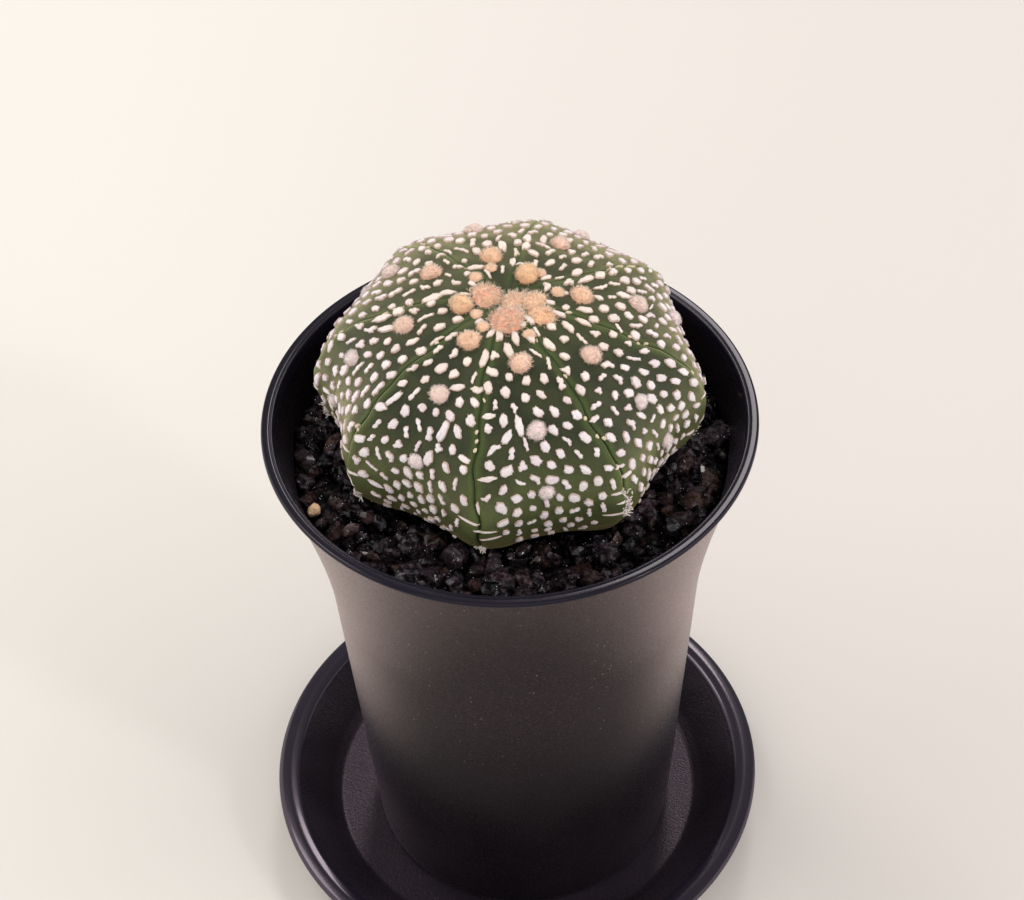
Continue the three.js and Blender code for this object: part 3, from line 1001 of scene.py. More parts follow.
@dataclass
class Tuft:
    """A fuzzy dome of wool: a lumpy felted core and the fibres that stand out of it.

    Its rise, its fibres' length and the reach of its point are shares of its radius. The core climbs
    from its foot, tucked into the skin, to near its top, in radians. "Stray" is how far the fibres lean
    from straight out.
    """

    place: Array
    outward: Array
    radius: float
    age: float
    blush: float = 0.0
    rise: float = 0.85
    fibre_length: float = 0.28
    fibre_count: int = 240
    fibre_width: float = 0.1
    curl: float = 0.3
    point: float = 0.0
    stray: float = 0.33
    climbs: tuple[float, float] = (-0.45, 1.35)
    rings: int = 9
    sides: int = 20

    def shape(self, turn: Array, climb: Array, seed: int) -> Array:
        """Places on the core.

        A unit dome of cos(climb) across and sin(climb) up, wider or narrower by slow waves round it,
        drawn out on one side where the tuft is pointed, and roughened by ripples.

        Args:
            turn: radians round the outward axis.
            climb: radians up from the skin, below 0 where the foot tucks in.
            seed: of the waves.

        Returns:
            Points in millimetres.
        """
        draw = np.random.default_rng(seed)
        phase = draw.uniform(0, TAU, 3)
        lobes = 1 + 0.05 * np.sin(2 * turn + phase[0]) + 0.04 * np.sin(3 * turn + phase[1])
        lobes = lobes + self.point * np.exp(-((((turn - phase[2]) % TAU) - math.pi) / 0.5) ** 2)
        first, second = across_of(self.outward[None])
        reach = (self.radius * lobes * np.cos(climb))[..., None]
        up = (self.radius * self.rise * np.sin(climb))[..., None]
        place = self.place + around_of(first, second, turn[..., None]) * reach + self.outward * up
        rough = 1 + 0.05 * ripples(place, seed + 1, 0.9)[..., None]
        return self.place + (place - self.place) * rough

    @staticmethod
    def lit(climb: Array) -> Array:
        """How much of the light wool at this climb gets: little at the foot, all from half way up."""
        return 0.35 + 0.65 * np.clip(1.5 * np.sin(climb) + 0.1, 0, 1)

    def made(self, seed: int) -> Surface:
        """Core and fibres with the marks that the wool's finish reads.

        Args:
            seed: of the shape and of the fibres.

        Returns:
            One surface.
        """
        draw = np.random.default_rng(seed)
        turn, climb = np.meshgrid(np.arange(self.sides) * TAU / self.sides,
                                  np.linspace(*self.climbs, self.rings))
        top = self.shape(np.zeros(1), np.full(1, math.pi / 2), seed)[0]
        foot = self.place - self.outward * self.radius * self.rise * 0.4
        lit = np.append(self.lit(climb.ravel()), [0.0, 1.0])
        # Painted shade: the core's tip mark is low, and lower towards its foot by lit, so the wool finish
        # darkens it.
        marks = {"tip": 0.4 * lit, "tone": np.full(len(lit), 0.2)}
        core = Surface.capped(self.shape(turn, climb, seed), foot, top, marks)
        turns = draw.uniform(0, TAU, self.fibre_count)
        climbs = np.arcsin(draw.uniform(-0.12, 1, self.fibre_count))
        roots = self.shape(turns, climbs, seed)
        ways = unit(unit(roots - self.place) + self.stray * draw.normal(size=roots.shape))
        lengths = self.radius * self.fibre_length * draw.uniform(0.5, 1.35, self.fibre_count)
        curls = self.curl * draw.uniform(0.4, 1.4, self.fibre_count)
        roots = roots - ways * 0.08
        hairs = fibres(roots, ways, lengths, self.fibre_width, curls, seed + 2)
        each = len(hairs.points) // self.fibre_count
        # Painted shade: the fibres' tip mark falls with lit towards the tuft's foot.
        hairs.marks["tip"] = (0.4 + 0.6 * hairs.marks["tip"]) * np.repeat(self.lit(climbs), each)
        hairs.marks["tone"] = np.repeat(draw.uniform(0, 1, self.fibre_count), each)
        tuft = Surface.joined([core, hairs])
        tuft.marks["age"] = np.full(len(tuft.points), self.age)
        tuft.marks["blush"] = self.blush * (0.55 + 0.45 * tuft.marks["tone"])
        return tuft


# ---- Pieces on the cactus ---------------------------------------------------------------------


@dataclass(frozen=True)
class Seat:
    """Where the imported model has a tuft: the node, the tuft's size along the three axes, and its place as
    "around" and "polar"."""

    node: str
    size: Array
    around: float
    polar: float


@dataclass(frozen=True)
class Clump:
    """A clump of wool at the crown: its place as "around" and millimetres from the crown's centre, its
    radius, its age from 0 to 1 and how far it blushes."""

    around: float
    along: float
    radius: float
    age: float = 0.2
    blush: float = 0.0


@dataclass
class Cactus:
    """The plant: its body, the wool tufts on each rib and the wool at the crown, which is five big clumps
    and the knobs round them.

    Tufts age over a stretch of skin, in millimetres from the crown's centre, and wear off over a stretch
    of the polar angle.
    """

    body: Body
    columns: int = 64
    crown_rows: int = 118
    root_rows: int = 26
    last_row: float = 134
    ageing: tuple[float, float] = (6, 52)
    wearing: tuple[float, float] = (86, 98)
    pointed_from: float = 25
    knob_radius: float = 1.6
    clumps: tuple[Clump, ...] = (
        Clump(0.35, 6.6, 4.3, 0.16, 0.85),
        Clump(1.6, 9.0, 3.2, 0.06, 0.45),
        Clump(2.2, 5.2, 3.4, 0.16, 0.1),
        Clump(1.9, 1.6, 3.9, 0.2, 0.2),
        Clump(5.8, 4.4, 3.9, 0.16, 0.75),
        Clump(6.15, 9.9, 1.5),
        Clump(6.95, 8.4, 1.2),
        Clump(5.1, 8.6, 1.3),
        Clump(4.6, 9.4, 1.2),
        Clump(7.55, 10.2, 1.3),
        Clump(0.9, 11.6, 1.2),
        Clump(2.6, 10.3, 1.3),
        Clump(3.4, 9.6, 1.2),
    )

    def build_body(self) -> bpy.types.Object:
        """The grown body with its root, on a grid of rows down and columns round it.

        The columns crowd towards the grooves as 0.85 of a half cosine and 0.15 of a straight share;
        the rows are evenly spaced along the skin as far as the grit and wider below it.
        """
        t = np.arange(self.columns) / self.columns
        share = 0.85 * (0.5 - 0.5 * np.cos(math.pi * t)) + 0.15 * t
        around = (np.arange(self.body.ribs)[:, None] + share).ravel()
        end = float(self.body.along_at(np.array(self.last_row)))
        rows = self.body.polar_at(np.linspace(0.35, end, self.crown_rows))
        polar = np.concatenate([rows, np.linspace(self.last_row + 2, 180, self.root_rows)])[::-1]
        grid_around, grid_polar = np.meshgrid(around, polar)
        points = self.body.at(grid_around, grid_polar)
        _, radius, _, _, near = self.body.spread(grid_around, grid_polar)
        strength = np.clip(radius / 9, 0, 1)
        lip = np.exp(-(((near - 0.7) / 0.7) ** 2)) * strength
        # fold: where the skin's finish paints shade along the crease of a groove
        fold = np.exp(-((near / 0.36) ** 2)) * strength
        top = self.body.at(np.zeros(1), np.zeros(1))[0]
        tip = points[0].mean(0) - [0, 0, 1.0]
        marks = {"lip": np.append(lip, [0, 0]), "fold": np.append(fold, [0, 0])}
        skin = Surface.capped(points, tip, top, marks)
        piece = skin.made("cactus_skin", CactusSkin().made())
        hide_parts("cactus_body")
        return piece

    def areoles(self) -> dict[int, list[Seat]]:
        """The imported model's tufts by rib, counted from 0, each at the nearest place on a fine grid of
        the skin."""
        around, polar = np.meshgrid(np.arange(0, self.body.ribs, 0.04), np.linspace(4, 135, 260))
        skin = self.body.at(around, polar).reshape(-1, 3)
        found: dict[int, list[Seat]] = {}
        for name in sorted(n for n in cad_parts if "_areole" in n):
            low, high = corners_of(name)
            nearest = int(np.linalg.norm(skin - (low + high) / 2, axis=1).argmin())
            rib = int(name[len("rib") : name.index("_")]) - 1
            seat = Seat(name, high - low, float(around.flat[nearest]), float(polar.flat[nearest]))
            found.setdefault(rib, []).append(seat)
        return found

    def rib_tuft(self, seat: Seat, pointed: bool) -> Tuft:
        """A tuft on a rib.

        Args:
            seat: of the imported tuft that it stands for.
            pointed: whether it is drawn out on one side, as some old ones are.

        Returns:
            The tuft: older down the rib, flat and small where it is worn, under the belt.
        """
        radius = float(seat.size.max()) / 2
        along = float(self.body.along_at(np.array(seat.polar)))
        young, old = self.ageing
        age = float(np.clip((along - young) / (old - young), 0, 1))
        worn = float(smooth_step(*self.wearing, np.array(seat.polar)))
        place, out = self.body.seat(seat.around, seat.polar, 0.05)
        return Tuft(place, out, radius * (0.82 - 0.34 * worn), age, 0.1 * (1 - age), 0.85 - 0.4 * worn,
                    fibre_count=int(160 + 70 * radius**2),
                    point=0.35 if pointed and along > self.pointed_from else 0.0)

    def build_tufts(self) -> None:
        """The wool tufts, one piece for each rib."""
        wool = Wool().made()
        for rib, seats in self.areoles().items():
            parts = []
            for i, seat in enumerate(seats):
                tuft = self.rib_tuft(seat, (rib * 5 + i * 3) % 7 in (2, 5))
                parts.append(tuft.made(1000 + rib * 40 + i * 4))
            piece = Surface.joined(parts).made(f"rib{rib + 1}_wool", wool)
            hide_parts(*(seat.node for seat in seats))

    def build_crown(self) -> bpy.types.Object:
        """The matted, curling wool over the growing tip: big clumps sit deep, small ones stand up."""
        parts = []
        for i, clump in enumerate(self.clumps):
            small = clump.radius < self.knob_radius
            sunk = 0.15 if small else clump.radius * 0.3 + 0.2
            polar = float(self.body.polar_at(np.array(clump.along)))
            place, out = self.body.seat(clump.around, polar, sunk)
            tuft = Tuft(place, out, clump.radius, clump.age, clump.blush,
                        rise=0.7 if small else 0.6, fibre_length=0.32 if small else 0.2,
                        fibre_count=int(100 + 105 * clump.radius**2), fibre_width=0.12, curl=0.4)
            parts.append(tuft.made(3000 + i * 10))
        piece = Surface.joined(parts).made("crown_wool_curls", Wool().made())
        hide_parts("crown_wool")
        return piece


class FleckKind(Enum):
    """A fleck's outline as three discs that have grown together: place along, place across and radius."""

    ROUND = ((0.0, 0.0, 1.0), (0.0, 0.0, 1.0), (0.0, 0.0, 1.0))
    PAIR = ((-0.72, 0.0, 0.82), (0.74, 0.06, 0.78), (0.0, 0.0, 0.5))
    CHAIN = ((-1.25, 0.1, 0.68), (0.0, -0.06, 0.72), (1.25, 0.12, 0.62))
    COMMA = ((-0.75, -0.3, 0.66), (0.0, 0.1, 0.7), (0.85, -0.35, 0.5))
    CLOVER = ((0.0, 0.55, 0.68), (-0.55, -0.35, 0.7), (0.6, -0.3, 0.66))


@dataclass(frozen=True)
class Strip:
    """A rib laid flat: its whole width and the width that has flecks, at steps down from the crown."""

    step: Array
    width: Array
    room: Array

    def width_at(self, along: Array) -> Array:
        """The whole width at a distance from the crown."""
        return np.interp(along, self.step, self.width)

    def room_at(self, along: Array) -> Array:
        """The width with flecks at a distance from the crown."""
        return np.interp(along, self.step, self.room)


@dataclass
class Flecks:
    """The felt flecks of the skin: strewn evenly over each rib, longest near the crown.

    Lengths are in millimetres, "spacing" sideways and down the rib. The kinds' shares and widths are in
    the order of FleckKind. A patch is built of rings, each a share of its outline, with a height as a
    share of its lift and a rim mark.
    """

    body: Body
    seats: dict[int, list[Seat]]
    outline: int = 26
    first: float = 8.2
    last: float = 62.0
    spacing: tuple[float, float] = (3.05, 3.6)
    fill: float = 0.93
    tries: int = 40
    closest: float = 0.62
    pushes: int = 14
    shares: tuple[float, ...] = (0.66, 0.14, 0.05, 0.08, 0.07)
    widths: tuple[float, ...] = (1.0, 0.84, 0.78, 0.9, 0.86)
    rings: tuple[float, ...] = (1.0, 0.9, 0.74)
    levels: tuple[float, ...] = (-0.28, 0.72, 0.98)
    rims: tuple[float, ...] = (1.0, 0.7, 0.0)
    young_above: tuple[float, float] = (26, 12)
    beads: int = 5
    beads_along: tuple[float, float] = (13, 42)

    def strip(self, rib: int) -> Strip:
        """One rib, its flecks kept off the grooves, most of all near the foot."""
        step = np.linspace(self.first, self.last, 200)
        polar = self.body.polar_at(step)
        radius, _ = self.body.profile(polar)
        ends = self.body.groove_azimuth(np.array([[rib], [rib + 1]]), polar, radius)
        width = (ends[1] - ends[0]) * radius
        margin = 0.85 + 0.9 * smooth_step(15, 35, step) + 3.8 * smooth_step(43, 58, step)
        return Strip(step, width, np.clip(width - 2 * margin, 0.3, None))

    def taken(self, rib: int, strip: Strip) -> Array:
        """What the strewn flecks keep clear of: the wool tufts, and the dashes by the rib's grooves.

        Args:
            rib: counted from 0.
            strip: the rib laid flat.

        Returns:
            Rows of sideways place from the rib's middle, distance from the crown and radius.
        """
        taken = []
        for seat in self.seats[rib]:
            along = self.body.along_at(np.array(seat.polar))
            taken.append(((seat.around - rib - 0.5) * strip.width_at(along), along, seat.size.max() / 2))
        for groove, way in ((rib, 1), ((rib + 1) % self.body.ribs, -1)):
            for down, side, half, _ in self.body.grooves[groove].dashes:
                if side * way > -1:
                    taken.append((side - way * strip.width_at(down) / 2, down, 0.2 + 0.5 * half))
        return np.array(taken)

    def strewn(self, rib: int, draw: np.random.Generator) -> tuple[Array, Array]:
        """Even but unordered places on a rib: each new one is the farthest of some tries from the
        others, with distances down the rib counted for less than sideways.

        Args:
            rib: counted from 0.
            draw: the random numbers.

        Returns:
            Places as "across", 0 to 1, and distance from the crown.
        """
        strip = self.strip(rib)
        taken = self.taken(rib, strip)
        total = strip.room.sum()
        share = np.cumsum(strip.room) / total
        area = float(total * (strip.step[1] - strip.step[0]))
        kept = np.zeros((0, 2))
        for _ in range(int(area / (math.prod(self.spacing) * self.fill))):
            along = np.interp(draw.uniform(0, 1, self.tries), share, strip.step)
            side = draw.uniform(-0.5, 0.5, self.tries) * strip.room_at(along)
            tries = np.stack([side, along], -1)
            clear = np.full(self.tries, 9.0)
            if len(kept):
                gaps = (tries[:, None] - kept[None]) / self.spacing
                clear = np.minimum(clear, np.linalg.norm(gaps, axis=-1).min(1))
            from_taken = np.linalg.norm(tries[:, None] - taken[None, :, :2], axis=-1) - taken[:, 2]
            clear = np.minimum(clear, (from_taken.min(1) - 0.1) / 1.5)
            best = int(clear.argmax())
            if clear[best] > self.closest:
                kept = np.concatenate([kept, tries[best : best + 1]])
        kept = self.settled(kept, strip, taken)
        return 0.5 + kept[:, 0] / strip.width_at(kept[:, 1]), kept[:, 1]

    def settled(self, kept: Array, strip: Strip, taken: Array) -> Array:
        """The places after they have pushed each other, and what is taken has pushed them, apart.

        Args:
            kept: places as sideways and down.
            strip: the rib laid flat, which none of them leaves.
            taken: what they keep clear of.

        Returns:
            The places.
        """
        for _ in range(self.pushes):
            gaps = (kept[:, None] - kept[None]) / self.spacing
            far = np.linalg.norm(gaps, axis=-1, keepdims=True)
            push = np.where((far > 0) & (far < 1.1), (1.1 - far) * gaps / np.maximum(far, 0.05), 0).sum(1)
            aside = kept[:, None] - taken[None, :, :2]
            free = np.linalg.norm(aside, axis=-1, keepdims=True) - taken[None, :, 2:]
            push = push + np.where(free < 1.5, (1.5 - free) * unit(aside), 0).sum(1) / 2
            kept = kept + 0.3 * push * self.spacing
            kept[:, 1] = kept[:, 1].clip(self.first, self.last)
            half = strip.room_at(kept[:, 1]) / 2
            kept[:, 0] = kept[:, 0].clip(-half, half)
        return kept

    def outlines(self, kinds: list[FleckKind], draw: np.random.Generator) -> Array:
        """The reach of each outline at even angles: the farthest exit of a ray from the discs, with
        random teeth.

        Args:
            kinds: one for each fleck.
            draw: the random numbers.

        Returns:
            (flecks, outline) reaches, about 1.
        """
        discs = np.array([k.value for k in kinds])
        angle = np.arange(self.outline) * TAU / self.outline
        ray = np.stack([np.cos(angle), np.sin(angle)], -1)
        onto = discs[:, :, :2] @ ray.T
        far = discs[:, :, 2:] ** 2 - (discs[:, :, :2] ** 2).sum(-1, keepdims=True) + onto**2
        reach = np.where(far > 0, onto + np.sqrt(np.maximum(far, 0)), 0.35).max(1)
        phase = draw.uniform(0, TAU, (4, len(kinds), 1))
        size = draw.uniform(0, 0.07, (4, len(kinds), 1))
        lumps = sum(size[i] * np.cos((i + 2) * angle + phase[i]) for i in range(4))
        teeth = np.clip(draw.normal(0, 0.065, reach.shape), -0.14, 0.16)
        return np.maximum(reach, 0.35) * (1 + lumps + teeth)

    def laid(self, around: Array, along: Array, sizes: Array, tilt: Array, kinds: list[FleckKind],
             draw: np.random.Generator, lift: float = 0.34, bead: float = 0.0) -> Surface:
        """Flat patches of felt draped on the skin, with loose hairs round their edges.

        Each is a ring sunk in the skin, a shoulder, a flat top and its middle; sideways and downward
        offsets in millimetres are turned into steps of "around" and "polar", so that it bends with
        the skin. The hairs start at the shoulder and point away from the middle.

        Args:
            around: ribs round the body.
            along: distance from the crown.
            sizes: (flecks, 2), half lengths along and across.
            tilt: of the long axis from straight down the rib, in radians.
            kinds: one for each fleck.
            draw: the random numbers.
            lift: height of the felt in millimetres.
            bead: how far the felt has turned to the tan of the beads in the grooves.

        Returns:
            One surface with "tone", "rim" and "bead" marks.
        """
        count, sides = len(around), self.outline
        reach = self.outlines(kinds, draw)
        angle = np.arange(sides) * TAU / sides
        rings = np.array(self.rings)[None, :, None]
        long = sizes[:, :1, None] * rings * (reach * np.cos(angle))[:, None]
        wide = sizes[:, 1:, None] * rings * (reach * np.sin(angle))[:, None]
        long, wide = (np.pad(v.reshape(count, -1), ((0, 0), (0, 1))) for v in (long, wide))
        turn = tilt[:, None]
        down = long * np.cos(turn) - wide * np.sin(turn)
        side = long * np.sin(turn) + wide * np.cos(turn)
        polar = self.body.polar_at(along)
        footing = self.body.seats(around, polar)
        out = footing.out[:, None]
        sideways, below = side / footing.rib_mm[:, None], down / footing.degree_mm[:, None]
        places = self.body.at(around[:, None] + sideways, polar[:, None] + below)
        tall = lift * draw.uniform(0.75, 1.25, (count, 1)) * np.clip(sizes[:, 1:] / 0.7, 0.6, 1.3)
        level = np.append(np.repeat(self.levels, sides), 1.0)
        rough = 1 + 0.1 * draw.normal(size=(count, len(level)))
        points = places + out * (tall * level * rough)[..., None]
        faces = [net(3, sides), fan(3 * sides, np.arange(2 * sides, 3 * sides), True)]
        # rim: the felt's tan edge, partly painted shade round each fleck
        rim = np.append(np.repeat(self.rims, sides), 0.0)
        tones = draw.uniform(0, 1, (count, 1))
        marks = {k: np.broadcast_to(v, rough.shape) for k, v in (("tone", tones), ("rim", rim))}
        felt = Surface.repeated(points, faces, marks)
        shoulder = points[:, sides : 2 * sides]
        ways = unit(shoulder - points[:, -1:] + 0.5 * draw.normal(size=shoulder.shape))
        ways = unit(ways + out * draw.uniform(0.0, 0.5, (count, sides, 1)))
        lengths = draw.uniform(0.14, 0.46, count * sides) * np.repeat(np.clip(sizes[:, 1], 0.4, 1), sides)
        seed = int(draw.integers(1e6))
        roots = (shoulder - ways * 0.12).reshape(-1, 3)
        hairs = fibres(roots, ways.reshape(-1, 3), lengths, 0.12, np.full(count * sides, 0.2), seed, 1)
        hairs.marks = {"tone": np.repeat(tones[:, 0], sides * 6), "rim": 0.25 + hairs.marks["tip"] * 0.35}
        whole = Surface.joined([felt, hairs])
        whole.marks["bead"] = np.full(len(whole.points), bead)
        return whole

    def build_rib(self, rib: int, felt: bpy.types.Material) -> bpy.types.Object:
        """The flecks of one rib.

        Args:
            rib: counted from 0.
            felt: the finish.

        Returns:
            The piece.
        """
        draw = np.random.default_rng(200 + rib)
        across, along = self.strewn(rib, draw)
        count = len(across)
        young = smooth_step(*self.young_above, along)
        dash = draw.uniform(0, 1, count) < blend(0.13, 0.6, young)
        names = list(FleckKind)
        chosen = draw.choice(len(names), count, p=self.shares)
        chosen = np.where(dash, draw.choice([0, 0, 1, 2], count), chosen)
        kinds = [names[i] for i in chosen]
        half_wide = draw.normal(0.94, 0.1, count).clip(0.66, 1.15) * np.array(self.widths)[chosen]
        half_wide = half_wide * (1 - 0.2 * smooth_step(50, 60, along))
        half_wide = half_wide * (1 - 0.22 * smooth_step(14, 9, along))
        stretch = np.where(dash, draw.uniform(1.6, 2.9, count), draw.uniform(1.05, 1.5, count))
        stretch = np.where(chosen > 0, 1 + (stretch - 1) * 0.35, stretch)
        half_wide = np.where(dash, half_wide * 0.84, half_wide)
        sizes = np.stack([half_wide * stretch, half_wide], -1)
        tilt = draw.normal(0, 0.42, count) * blend(1.0, 0.35, young)
        tilt = tilt + np.where(draw.uniform(0, 1, count) < 0.1, 1.2, 0)
        parts = [self.laid(rib + across, along, sizes, tilt, kinds, draw)]
        parts += self.by_groove(rib, draw)
        piece = Surface.joined(parts).made(f"rib{rib + 1}_flecks", felt)
        return piece

    def by_groove(self, groove: int, draw: np.random.Generator) -> list[Surface]:
        """What lies along a groove: tan beads half sunk in its upper run, ragged dashes that cross it
        near the foot, and a spiky scar at the foot.

        Args:
            groove: counted from 0.
            draw: the random numbers.

        Returns:
            Three surfaces with the felt's marks.
        """
        rounds, beads = [FleckKind.ROUND], self.beads
        along = np.sort(draw.uniform(*self.beads_along, beads))
        side = draw.choice([-1, 1], beads) * draw.uniform(0.35, 0.7, beads)
        small = draw.uniform(0.34, 0.55, (beads, 1)) * (1.15, 0.85)
        around = groove + self.sideways(groove, side, along)
        tan = self.laid(around, along, small, draw.normal(0, 0.4, beads), rounds * beads, draw, 0.45, 0.85)
        down, side, half, thin = np.array(self.body.grooves[groove].dashes).T
        dashes = len(down)
        sizes = np.stack([half, thin], -1) * draw.uniform(0.92, 1.08, (dashes, 1))
        around = groove + self.sideways(groove, side, down)
        tilt = math.pi / 2 + draw.normal(0, 0.12, dashes)
        across = self.laid(around, down, sizes, tilt, rounds * dashes, draw, 0.3, 0.12)
        spot, spread = self.body.grooves[groove].scar
        hairs = int(22 + 10 * spread)
        foot = self.body.polar_at(spot + spread * draw.uniform(-1, 1, hairs))
        footing = self.body.seats(np.full(hairs, groove + 0.012), foot)
        ways = footing.side * draw.normal(0, 1.1, (hairs, 1)) + footing.out * 0.7
        ways = unit(ways + 0.5 * draw.normal(size=(hairs, 3)))
        roots = footing.place + footing.side * draw.normal(0, 0.4, (hairs, 1))
        lengths = draw.uniform(0.4, 1.4, hairs)
        spikes = fibres(roots, ways, lengths, 0.7, np.full(hairs, 0.25), 900 + groove, 3)
        tone = np.full(len(spikes.points), 0.3)
        scar = Surface(spikes.points, spikes.faces, {"tone": tone, "rim": tone * 0.3, "bead": tone})
        return [tan, across, scar]

    def sideways(self, groove: int, side: Array, along: Array) -> Array:
        """Steps of "around" for offsets in millimetres to each side of a groove."""
        polar = self.body.polar_at(along)
        beside = (groove - 0.02 + self.body.ribs, groove + 0.02)
        rib_mm = [self.body.seats(np.full(len(side), around), polar).rib_mm for around in beside]
        return side / np.where(side < 0, *rib_mm)

    def build(self) -> None:
        """All ribs."""
        felt = Felt().made()
        for rib in range(self.body.ribs):
            self.build_rib(rib, felt)


# ---- Pot, saucer and fill ---------------------------------------------------------------------


@dataclass
class Pot:
    """The tall pot: a foot ring with gaps, a drained floor, a wall that flares, a beaded rim."""

    centre: Array
    foot: float
    top: float
    edge_radius: float
    base_radius: float = 36.3
    body_top_radius: float = 51.4
    waist_growth: float = 0.0605
    flare_height: float = 48
    flare_power: float = 1.7
    wall: float = 1.7
    floor: float = 2.2
    foot_height: float = 1.5
    foot_width: float = 2.6
    notch_width: float = 9
    drain_radius: float = 3.4
    drain_ring: float = 22
    drain_count: int = 8
    centre_drain_radius: float = 5
    sides: int = 240

    @property
    def edge_height(self) -> float:
        """Height of the rim's widest point."""
        return self.top - 0.6

    @property
    def base(self) -> float:
        """Height of the floor's underside."""
        return self.foot + self.foot_height

    def outer(self, height: Array) -> Array:
        """The wall's outer radius: a straight taper and a flare that grows as a power of height."""
        taper = self.base_radius + self.waist_growth * (height - self.foot)
        end = self.base_radius + self.waist_growth * (self.edge_height - self.foot)
        into = np.clip(1 - (self.edge_height - height) / self.flare_height, 0, None)
        return taper + (self.body_top_radius - end) * into**self.flare_power

    def bore(self, height: Array) -> Array:
        """The wall's inner radius."""
        return self.outer(height) - self.wall

    def profile(self) -> Array:
        """The section: foot ring, wall, a rolled rim with a fine step inside it, bore and floor."""
        edge, level, base = self.edge_radius, self.edge_height, self.base
        inner_foot = self.base_radius - self.foot_width
        low = [(0, base), (inner_foot - 0.4, base), (inner_foot, self.foot),
               (self.base_radius - 0.3, self.foot),
               (float(self.outer(self.foot + 0.7)), self.foot + 0.7)]
        heights = np.concatenate([np.linspace(self.foot + 4, level - self.flare_height, 10),
                                  np.linspace(level - self.flare_height + 3, level - 1.5, 22)])
        wall = list(zip(self.outer(heights), heights))
        lip = float(self.bore(level))
        rim = [(edge - 0.35, level - 0.75), (edge, level - 0.15), (edge - 0.15, level + 0.45),
               (edge - 0.5, level + 0.6), (edge - 1.75, level + 0.57), (edge - 1.9, level + 0.42),
               (edge - 2.02, level + 0.42), (edge - 2.12, level + 0.5), (lip + 0.25, level + 0.44),
               (lip, level - 0.1)]
        inner_floor = base + self.floor
        inside = heights[::-1][:-1]
        bore = list(zip(self.bore(inside), inside))
        end = [(float(self.bore(inner_floor + 1.5)), inner_floor + 1.5),
               (float(self.bore(inner_floor)) - 1.5, inner_floor), (0, inner_floor)]
        return np.concatenate([eased(low + wall[:1], 0.35), np.array(wall[1:-1]),
                               eased([wall[-1]] + rim + bore[:1], 0.3), np.array(bore[1:-1]),
                               eased(bore[-1:] + end, 0.6)])

    def build(self) -> bpy.types.Object:
        """The pot in its plastic, its drains and foot gaps cut through."""
        shell = lathe(self.profile(), self.centre, self.sides)
        off = np.linalg.norm(shell.points[:, :2] - self.centre[:2], axis=1) - self.bore(shell.points[:, 2])
        shell.marks["inside"] = smooth_step(self.wall * 0.7, self.wall * 0.2, off)
        finish = MouldedPlastic("pot_plastic", linear(12, 9, 12), linear(19, 15, 18),
                                (self.edge_height - 1.6) * MM)
        piece = shell.made("grower_pot", finish.made())
        self.cut(piece, self.cutters())
        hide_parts("pot")
        return piece

    def cutters(self) -> list[Surface]:
        """Upright round bars for the drains and two crossed bars for the foot's gaps."""
        low, high = self.foot - 1, self.base + self.floor + 1
        turn = np.arange(self.drain_count) * TAU / self.drain_count
        spots = [(0.0, 0.0, self.centre_drain_radius)]
        spots += [(self.drain_ring * c, self.drain_ring * s, self.drain_radius)
                  for c, s in zip(np.cos(turn), np.sin(turn))]
        bars = [lathe(np.array([(0, low), (r, low), (r, high), (0, high)]), self.centre[:2] + (x, y), 32)
                for x, y, r in spots]
        reach = (self.base_radius + 2, self.notch_width / 2)
        corner = np.array([[-1, -1], [1, -1], [1, 1], [-1, 1]])
        faces = [net(2, 4), np.array([[3, 2, 1, 0], [4, 5, 6, 7]])]
        for size in (reach, reach[::-1]):
            flat = self.centre[:2] + corner * size
            levels = [np.column_stack([flat, np.full(4, z)]) for z in (low, self.base)]
            bars.append(Surface(np.concatenate(levels), faces))
        return bars

    @staticmethod
    def cut(piece: bpy.types.Object, bars: list[Surface]) -> None:
        """Takes each bar out of the piece and marks the edges over 35 degrees as sharp."""
        dark = piece.data.materials[0]
        for bar in bars:
            cutter = bar.made("cutter", dark, smooth=False)
            tool = piece.modifiers.new("cut", "BOOLEAN")
            tool.object, tool.operation, tool.solver = cutter, "DIFFERENCE", "EXACT"
            graph = bpy.context.evaluated_depsgraph_get()
            mesh = bpy.data.meshes.new_from_object(piece.evaluated_get(graph))
            piece.modifiers.clear()
            piece.data = mesh
            bpy.data.objects.remove(cutter)
        piece.data.polygons.foreach_set("use_smooth", np.full(len(piece.data.polygons), True))
        piece.data.set_sharp_from_angle(angle=math.radians(35))


